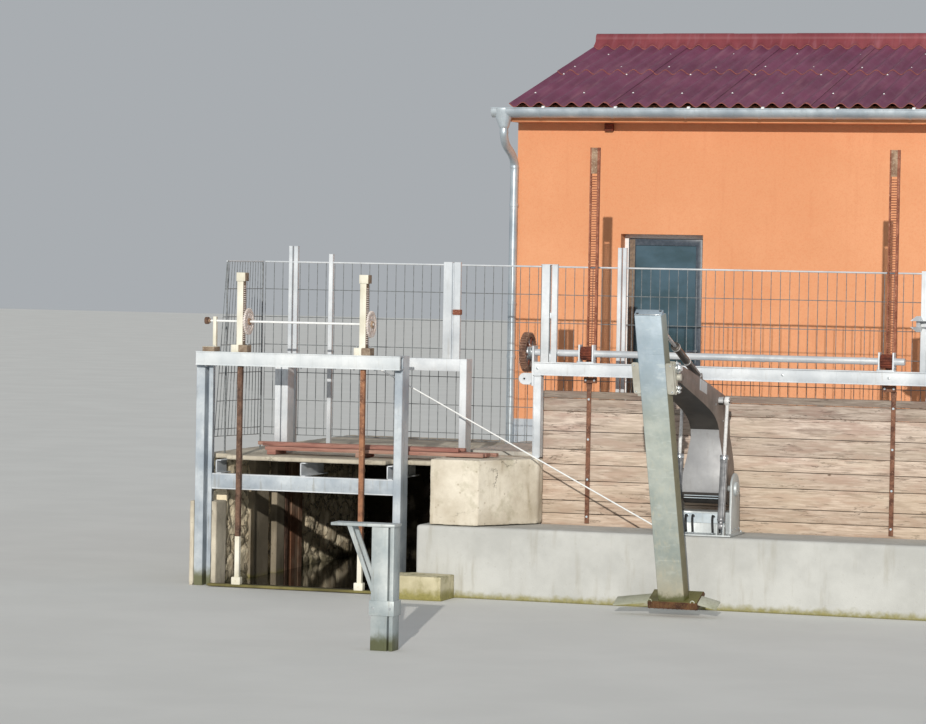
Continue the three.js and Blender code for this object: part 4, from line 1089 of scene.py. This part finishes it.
def arm_boom():
    kit = Kit(ARM_GREY, BRIGHT, RUBBER, GALVANISED, GAP_SHADE, ARM_SIDE_SHADE, ARM_UNDERSIDE_SHADE)
    kit.carry("arm_boom", 7, 0, 2)
    # Side faces get the darker brown-grey that paints their shade.
    kit.repaint(5, lambda normal, middle: abs(normal.x) > 0.6)
    # Down-facing faces get the dark grey that paints their shade.
    kit.repaint(6, lambda normal, middle: normal.z < -0.35)
    for side in (-1, 1):
        face = ARM_X + side * 150
        kit.prism([(-530, 2246), (-250, 2192), (-250, 2306), (-530, 2360)], "X",
                  min(face, face + side * 3), max(face, face + side * 3), 3, 1)
        for centre, radius in ((TIP, 66),):
            kit.disc(centre, 60, "X", min(face, face + side * 4.6), max(face, face + side * 4.6), 3, 32)
        for y, z in ((120, 2080), (430, 1900), (560, 1620), (600, 1480)):
            kit.disc((y, z), 11, "X", min(face, face + side * 7), max(face, face + side * 7), 1, 6, 1)
    for x in (-60, 60):
        hose(kit, [(ARM_X + x, 700, 1500), (ARM_X + x, 752, 1650), (ARM_X + x, 738, 1830), (ARM_X + x, 690, 2010),
                   (ARM_X + x, 560, 2155), (ARM_X + x, 380, 2204), (ARM_X + x, 120, 2252), (ARM_X + x, -20, 2300)],
             11, 2)
    for z, reach in ((1112, 24), (1136, 16)):
        kit.box(ARM_X - 200, ARM_X + 200, 272 - reach, 330, z, z + 8, 3, 2)
    kit.box(ARM_X - 90, ARM_X + 90, 560, 592, 2100, 2126, 1, 2)
    kit.box(ARM_X - 90, ARM_X + 90, 728, 756, 1690, 1716, 1, 2)
    kit.piece("arm_boom_shown", "boom", ["arm_boom"])


def stick_pose():
    """The stick's pieces are drawn upright about its pivot and lean with this."""
    return Matrix.Translation(Vector((ARM_X, TIP[0], TIP[1]))) @ Matrix.Rotation(math.radians(20.86), 4, "X")


def arm_stick():
    kit = Kit(STICK_STEEL, BRIGHT, GAP_SHADE, CAP_STEEL)
    kit.pose = stick_pose()
    front, back, foot, top = -277.6, -197.6, -2335, 700
    section = [(-150, front), (114, front), (150, back), (-150, back)]
    kit.prism(section, "Z", foot, top, 0, 6)
    cap = [(front, top - 1), (front, top + 12), (back, top + 32), (back, top - 1)]
    kit.prism(cap, "X", -149, 122, 3, 1)
    kit.prism([(front - 1, top + 7), (front + 6, top + 7), (front + 6, top + 15), (front - 1, top + 13)], "X", -150, 116, 1, 1)
    # Black discs paint the shade inside the cap's corner holes.
    for x, y in ((-122, front + 20), (98, back - 16)):
        rise = top + 12 + 20 * (y - front) / (back - front)
        kit.disc((x, y), 14, "Z", rise - 4, rise + 1.5, 2, 20, 1)
    for z in (-1900, -1000, 300):
        kit.prism([(-150.6, front - 0.6), (114.4, front - 0.6), (150.6, back), (-150.6, back)], "Z", z, z + 7, 0, 2)
    kit.piece("arm_stick_shown", "stick", ["arm_stick"])
    kit = Kit(BRACKET_STEEL, BRIGHT)
    kit.pose = stick_pose()
    kit.box(-130, 130, back, -126, -160, 160, 0, 3)
    kit.prism(rounded(-186, 186, -165, 165, 24), "Y", -127, -107, 0, 3)
    for x0, x1 in ((-222, -148), (116, 190)):
        kit.prism(rounded(x0, x1, -118, 206, 20), "Y", -272, -256, 0, 3)
    kit.box(-190, -150, -256, -108, -150, 150, 0, 3)
    kit.box(152, 186, -200, -108, -150, 150, 0, 3)
    for x in (-186, 170):
        for z in (-135, -95, 95, 135):
            kit.bolt((x, z), "Y", -107, 1, 1, 11)
    for z in (-94, 180):
        kit.bolt((-196, z), "Y", -272, -1, 1, 7)
        kit.bolt((164, z), "Y", -272, -1, 1, 7)
    kit.disc((0, 0), 40, "X", -240, -184, 1, 28)
    kit.disc((-110, 96), 50, "X", 184, 214, 1, 32)
    kit.disc((-110, 96), 32, "X", 214, 236, 1, 6)
    kit.disc((-110, 0), 34, "X", 184, 222, 0, 28)
    for y, z, size in ((-120, -110, 22), (-120, -150, 16), (-116, 148, 16)):
        kit.bolt((y, z), "X", 186, 1, 1, size)
    kit.piece("stick_bracket_shown", "stick", ["stick_bracket"])
    kit = Kit(RAKE_STEEL, RAKE_PLATE, RAKE_BROWN, BRIGHT)
    kit.pose = stick_pose()
    top = -2335.3
    kit.prism([(-305, top), (-30, top), (12, top - 45), (-60, top - 76), (-305, top - 76)], "X", -255, 255, 2, 3)
    kit.prism([(-300, top), (-40, top), (-40, top + 5), (-300, top + 5)], "X", -250, 250, 0, 1)
    for inner, outer in ((-250, -620), (250, 440)):
        kit.prism([(inner, top - 6), (inner, top - 26), (outer, top - 74), (outer, top - 60)], "Y", -290, -110, 1, 3)
    for x in range(-235, 236, 47):
        kit.prism([(-312, -2410), (-290, -2410), (-290, -2345), (-312, -2352)], "X", x - 6, x + 6, 2, 1)
    for x in (-232, 205):
        rim = [(x + 20 * math.cos(a * math.pi / 8), -300, top + 2 + 20 * math.sin(a * math.pi / 8)) for a in range(16)]
        kit.tube(rim, 5, 1, 8, closed=True)
    kit.piece("rake_head_shown", "stick", ["rake_head"])


def cylinder_pose(x, foot, head):
    turn = -math.atan2(head[0] - foot[0], head[1] - foot[1])
    return Matrix.Translation(Vector((x, foot[0], foot[1]))) @ Matrix.Rotation(turn, 4, "X")


def cylinders():
    lift_foot, lift_head = (90, 850), (265, 2110)
    tilt_foot, tilt_head = (-35, 2367), (-1650, 2930)
    for side, sign in (("left", -1), ("right", 1)):
        kit = Kit(BARREL_GREY, BRIGHT, RUBBER)
        kit.carry(f"{side}_lift_barrel", 2)
        kit.pose = cylinder_pose(ARM_X + sign * 235, lift_foot, lift_head)
        kit.disc((0, 0), 46, "Z", 676, 700, 1, 28)
        kit.disc((0, 0), 41.5, "Z", 60, 74, 0, 28)
        kit.tube([(28, -34, 640), (28, -34, 90)], 6, 0, 8)
        kit.piece(f"{side}_lift_barrel_shown", "lift_barrels", [f"{side}_lift_barrel"])
        kit = Kit(ROD_LIGHT)
        kit.carry(f"{side}_lift_rod", 1.5)
        kit.piece(f"{side}_lift_rod_shown", "lift_rods", [f"{side}_lift_rod"])
    kit = Kit(BARREL_DARK, ROD_LIGHT, TUBE_BROWN)
    kit.carry("tilt_barrel", 2)
    kit.pose = cylinder_pose(ARM_X, tilt_foot, tilt_head)
    kit.disc((0, 0), 45.5, "Z", 926, 950, 1, 28)
    kit.disc((0, 0), 41, "Z", 470, 486, 1, 28)
    kit.tube([(-30, 32, 900), (-30, 32, 90)], 7, 2, 8)
    kit.piece("tilt_barrel_shown", "tilt_barrel", ["tilt_barrel"])
    kit = Kit(ROD_LIGHT)
    kit.carry("tilt_rod", 1.5)
    kit.piece("tilt_rod_shown", "tilt_rod", ["tilt_rod"])


# Side sluice
STEMS = (-2466, -1092)


def sluice_frames():
    kit = Kit(FRAME_STEEL, BRIGHT, LIGHT_STEEL, BEAM_PALE)
    left, right, low, top = -2980, -672, 2338, 2483
    kit.prism([(left, 0), (-2884, 0), (-2884, 120), (-2837, 120), (-2837, 0), (-2791, 0), (-2791, 16), (-2822, 16),
               (-2822, 140), (left, 140)], "Z", 0, low + 1, 0, 3)
    kit.box(right - 86, right, 0, 220, 0, top, 0, 6)
    kit.box(left + 30, right + 7, -110, -76, low, top, 3, 5)
    kit.box(left + 5, right + 7, -4, 1, low, top, 0, 1)
    ends = [left + 18] + [x + side for x in STEMS for side in (-34, 34)] + [right + 7]
    for a, b in zip(ends[::2], ends[1::2]):
        kit.box(a, b, -80, 0, top - 12, top, 0, 2)
        kit.box(a, b, -80, 0, low, low + 12, 0, 2)
    for z in (low, top - 12):
        kit.box(left + 32, right + 7, -114, -109, z, z + 12, 3, 1)
    for x in (-2853, -2740, -2620, -2360, -2250, -1780, -1400, -1192, -960, -760):
        kit.bolt((x, -55), "Z", low, -1, 1, 11)
    kit.box(-2823, -757, 15, 28, 1029, 1193, 0, 3)
    for z in (1029, 1181):
        kit.box(-2823, -757, 14, 100, z, z + 12, 2, 2)
    for x, back in ((-2755, 300), (-1800, 700), (-835, 900)):
        kit.box(x, x + 12, 20, back, 1192, 1337, 2, 2)
        for z in (1192, 1327):
            kit.box(x, x + 60, 20, back, z, z + 10, 2, 2)
    kit.piece("sluice_front_frame_shown", "station", ["sluice_front_frame"])
    kit = Kit(LIGHT_STEEL, BRIGHT, RUST_RACK)
    for x0, x1, y0, y1, z0, z1 in (
        (-2357, -2292, 680, 870, 1394, 2450), (-2280, -2208, 680, 870, 1394, 2450), (-2293, -2279, 730, 860, 1394, 2440),
        (-275, -198, 680, 870, 1437, 2450), (-2292, -275, 684, 800, 2319, 2449), (-473, -375, 680, 725, 2449, 3469),
        (-356, -284, 685, 730, 2449, 3469), (-376, -355, 700, 722, 2449, 3460),
    ):
        kit.box(x0, x1, y0, y1, z0, z1, 0, 5)
    for z in (1500, 2380):
        kit.bolt((-2244, z), "Y", 680, -1, 1, 11)
    kit.box(-362, -276, 668, 742, 2915, 2970, 2, 6)
    kit.piece("sluice_rear_frame_shown", "station", ["sluice_rear_frame"])


def rack_hoists():
    centre = (30, 2805)
    for side, x in zip(("left", "right"), STEMS):
        kit = Kit(CREAM, HOIST_RUST_AND_SHADE, BRIGHT, GEAR_PALE)
        kit.carry(f"{side}_rack_hoist", 3)
        # Right-hand faces take the brown that paints their shade.
        kit.repaint(1, lambda normal, middle: normal.x > 0.6)
        kit.box(x - 2, x + 96, -109, 22, 2484, 2560, 1, 4)
        kit.box(x - 34, x - 4, -109, -84, 2484, 2562, 0, 3)
        z = 2600
        while z < 3190:
            kit.box(x + 34, x + 42, -66, -12, z, z + 10, 3, 1)
            z += 22
        for bx in (x - 72, x + 78):
            kit.bolt((bx, -50), "Z", 2560, 1, 2, 10)
        kit.piece(f"{side}_rack_hoist_shown", "station", [f"{side}_rack_hoist"])
    kit = Kit(CREAM, BRIGHT, HOIST_RUST_AND_SHADE)
    kit.carry("crank_stand", 3)
    # The stand's lower part takes the rust brown, which also paints the shade on its side faces.
    kit.repaint(2, lambda normal, middle: middle.z < 2.53)
    for x in (-2850, -2765):
        kit.bolt((x, -60), "Z", 2535, 1, 1, 9)
    kit.piece("crank_stand_shown", "station", ["crank_stand"])
    kit = Kit(WHITE, GEAR_PALE, RUST_PALE, RUST_STEM)
    kit.disc(centre, 12, "X", -2900, -1010, 0, 16)
    for x in STEMS:
        outer = toothed(centre, 128, 139.5, 30)
        ring_plate(kit, outer, circle(centre, 104, len(outer)), "X", x + 45, x + 66, 1)
        kit.disc(centre, 106, "X", x + 50, x + 60, 1, 36)
        kit.disc(centre, 36, "X", x + 44, x + 76, 2, 24)
        for i in range(5):
            a = math.radians(72 * i + 20)
            kit.disc((centre[0] + 70 * math.cos(a), centre[1] + 70 * math.sin(a)), 15, "X", x + 58, x + 64, 1, 12)
    kit.disc(centre, 38, "X", -2900, -2862, 3, 24)
    kit.disc(centre, 22, "X", -2862, -2840, 2, 20)
    kit.piece("sluice_shaft_shown", "sluice_drive", ["sluice_shaft"])


def sluice_gate():
    kit = Kit(RUST_LIGHT, CREAM, MOSS, RUST_STEM)
    for x, look in zip(STEMS, (3, 0)):
        kit.box(x - 25, x + 25, -65, -15, 540, 2515, look, 3)
        kit.box(x - 25, x + 25, -65, -15, 110, 541, 1, 3)
        kit.box(x - 50, x + 50, -92, -16, 30, 112, 1, 6)
        kit.bolt((x, 72), "Y", -92, -1, 1, 8)
    kit.box(-2785, -765, -94, -17, 8, 34, 2, 6)
    kit.piece("sluice_gate_shown", "sluice", ["sluice_gate"])


def deck_boards():
    kit = Kit(BOARDS, RUST_PALE, GALVANISED)
    rows = [(330, 405), (412, 485), (492, 568), (575, 650)]
    for y0, y1 in rows:
        start = -2350 + rng.uniform(0, 60)
        kit.box(start, 200 - rng.uniform(0, 90), y0, y1, 1440, 1480 - rng.uniform(0, 5), 0, 4)
    for y0, y1 in ((400, 462), (470, 532), (540, 600)):
        kit.box(-2500 + rng.uniform(0, 130), -150 - rng.uniform(0, 160), y0, y1, 1482, 1526 - rng.uniform(0, 7), 0, 4)
    for x in (-2300, -1300):
        kit.box(x, x + 100, 330, 650, 1394, 1440, 0, 4)
    kit.piece("deck_boards_laid", "station", ["deck_boards"])


# Mesh fence
def mesh_panel(kit, length, move, wires=100, rows=300, splay=0):
    """A welded mesh between z 1560 and 3445; move takes the run along the panel to a point in X and Y.

    splay is how far the foot of the panel's far end stands out to the left of its top.
    """
    low, high = 1560, 3445

    def spot(run, z):
        x, y = move(run)
        return x - splay * run / length * (high - z) / (high - low), y, z

    count = round(length / wires)
    for i in range(count + 1):
        run = 4 + (length - 8) * i / count
        kit.tube([spot(run, low), spot(run, high)], 4.2, 0, 6)
    for j in range(round((high - low) / rows) + 1):
        z = high - 4 - j * rows
        kit.tube([spot(0, z), spot(length, z)], 4.2, 0, 6)
    kit.tube([spot(0, high - 8), spot(length, high - 8)], 9, 1, 8)
    kit.tube([spot(0, low + 4), spot(length, low + 4)], 4, 0, 6)


def fences():
    y = 1200
    for name, x0, length, posts in (
        ("fence_left", -2690, 4010, ((-2411, -2371, 1394, 3610), (-2353, -2307, 1394, 3610), (-1949, -1902, 1394, 3530),
                                     (1290, 1330, 1470, 3650))),
        ("fence_right", 1345, 4385, ((1345, 1385, 1470, 3650), (4590, 4630, 1470, 3530), (5690, 5730, 1470, 3610))),
    ):
        kit = Kit(WIRE, LIGHT_STEEL, BRIGHT)
        mesh_panel(kit, length, lambda run, x0=x0: (x0 + run, y))
        for a, b, z0, z1 in posts:
            kit.box(a, b, y - 25, y + 25, z0, z1, 1, 4)
            kit.box(a - 1, b + 1, y - 26, y + 26, z1 - 8, z1, 1, 3)
            kit.box(a - 40, b + 40, y - 45, y + 45, z0, z0 + 8, 1, 2)
        kit.piece(f"{name}_mesh", "station", [name])
    kit = Kit(WIRE, LIGHT_STEEL)
    start = Vector((-2700, y - 35))
    along = Vector((-82, -850)).normalized()
    mesh_panel(kit, 850, lambda run: tuple(start + along * run), wires=60, splay=120)
    for run in (12, 838):
        p = start + along * run
        kit.box(p.x - 8, p.x + 8, p.y - 8, p.y + 8, 1394, 3445, 0, 3)
    kit.piece("fence_side_mesh", "station", ["fence_side"])


def leaning_pole():
    """A thin white pole from the rear beam to the breast wall."""
    kit = Kit(WHITE)
    kit.tube([(-1252, 670, 2366), (2104, 233, 762)], 8, 0, 12)
    kit.piece("leaning_pole", "station")


def guide_post():
    kit = Kit(GUIDE_STEEL, GAP_SHADE, BRIGHT, LIGHT_STEEL)
    kit.carry("guide_post", 4)
    x, y = 935, -4955
    for dx, dy in ((-80, -60), (80, -60)):
        kit.disc((x + dx, 380), 14, "Y", y - 104, y - 97, 2, 6, 1)
    kit.piece("guide_post_shown", "station", ["guide_post"])


def floor():
    kit = Kit(plain_grain("floor_pale", rgb(214, 214, 211), rgb(219, 219, 216), 0.9, 0, 1.5, 0.0001))
    kit.face([kit.point(p) for p in ((-90000, -60000, -1), (90000, -60000, -1), (90000, 150000, -1),
                                     (-90000, 150000, -1))], 0)
    mesh = bpy.data.meshes.new("floor")
    kit.mesh.to_mesh(mesh)
    kit.mesh.free()
    mesh.materials.append(kit.looks[0])
    ground = bpy.data.objects.new("floor", mesh)
    bpy.context.scene.collection.objects.link(ground)


camera()
light()
floor()
walls()
roof_half("roof_front_sheets", "roof_front", lambda run: ROOF["eave"] + run)
roof_half("roof_back_sheets", "roof_back", lambda run: 2 * ROOF["ridge"] - ROOF["eave"] - run)
ridge_cap()
gutter()
eave_soffit()
downpipe()
door()
concrete_work()
timber_gate()
racks()
hoist_frame()
hoist_moving()
arm_pedestal()
arm_boom()
arm_stick()
cylinders()
sluice_frames()
rack_hoists()
sluice_gate()
deck_boards()
fences()
leaning_pole()
guide_post()
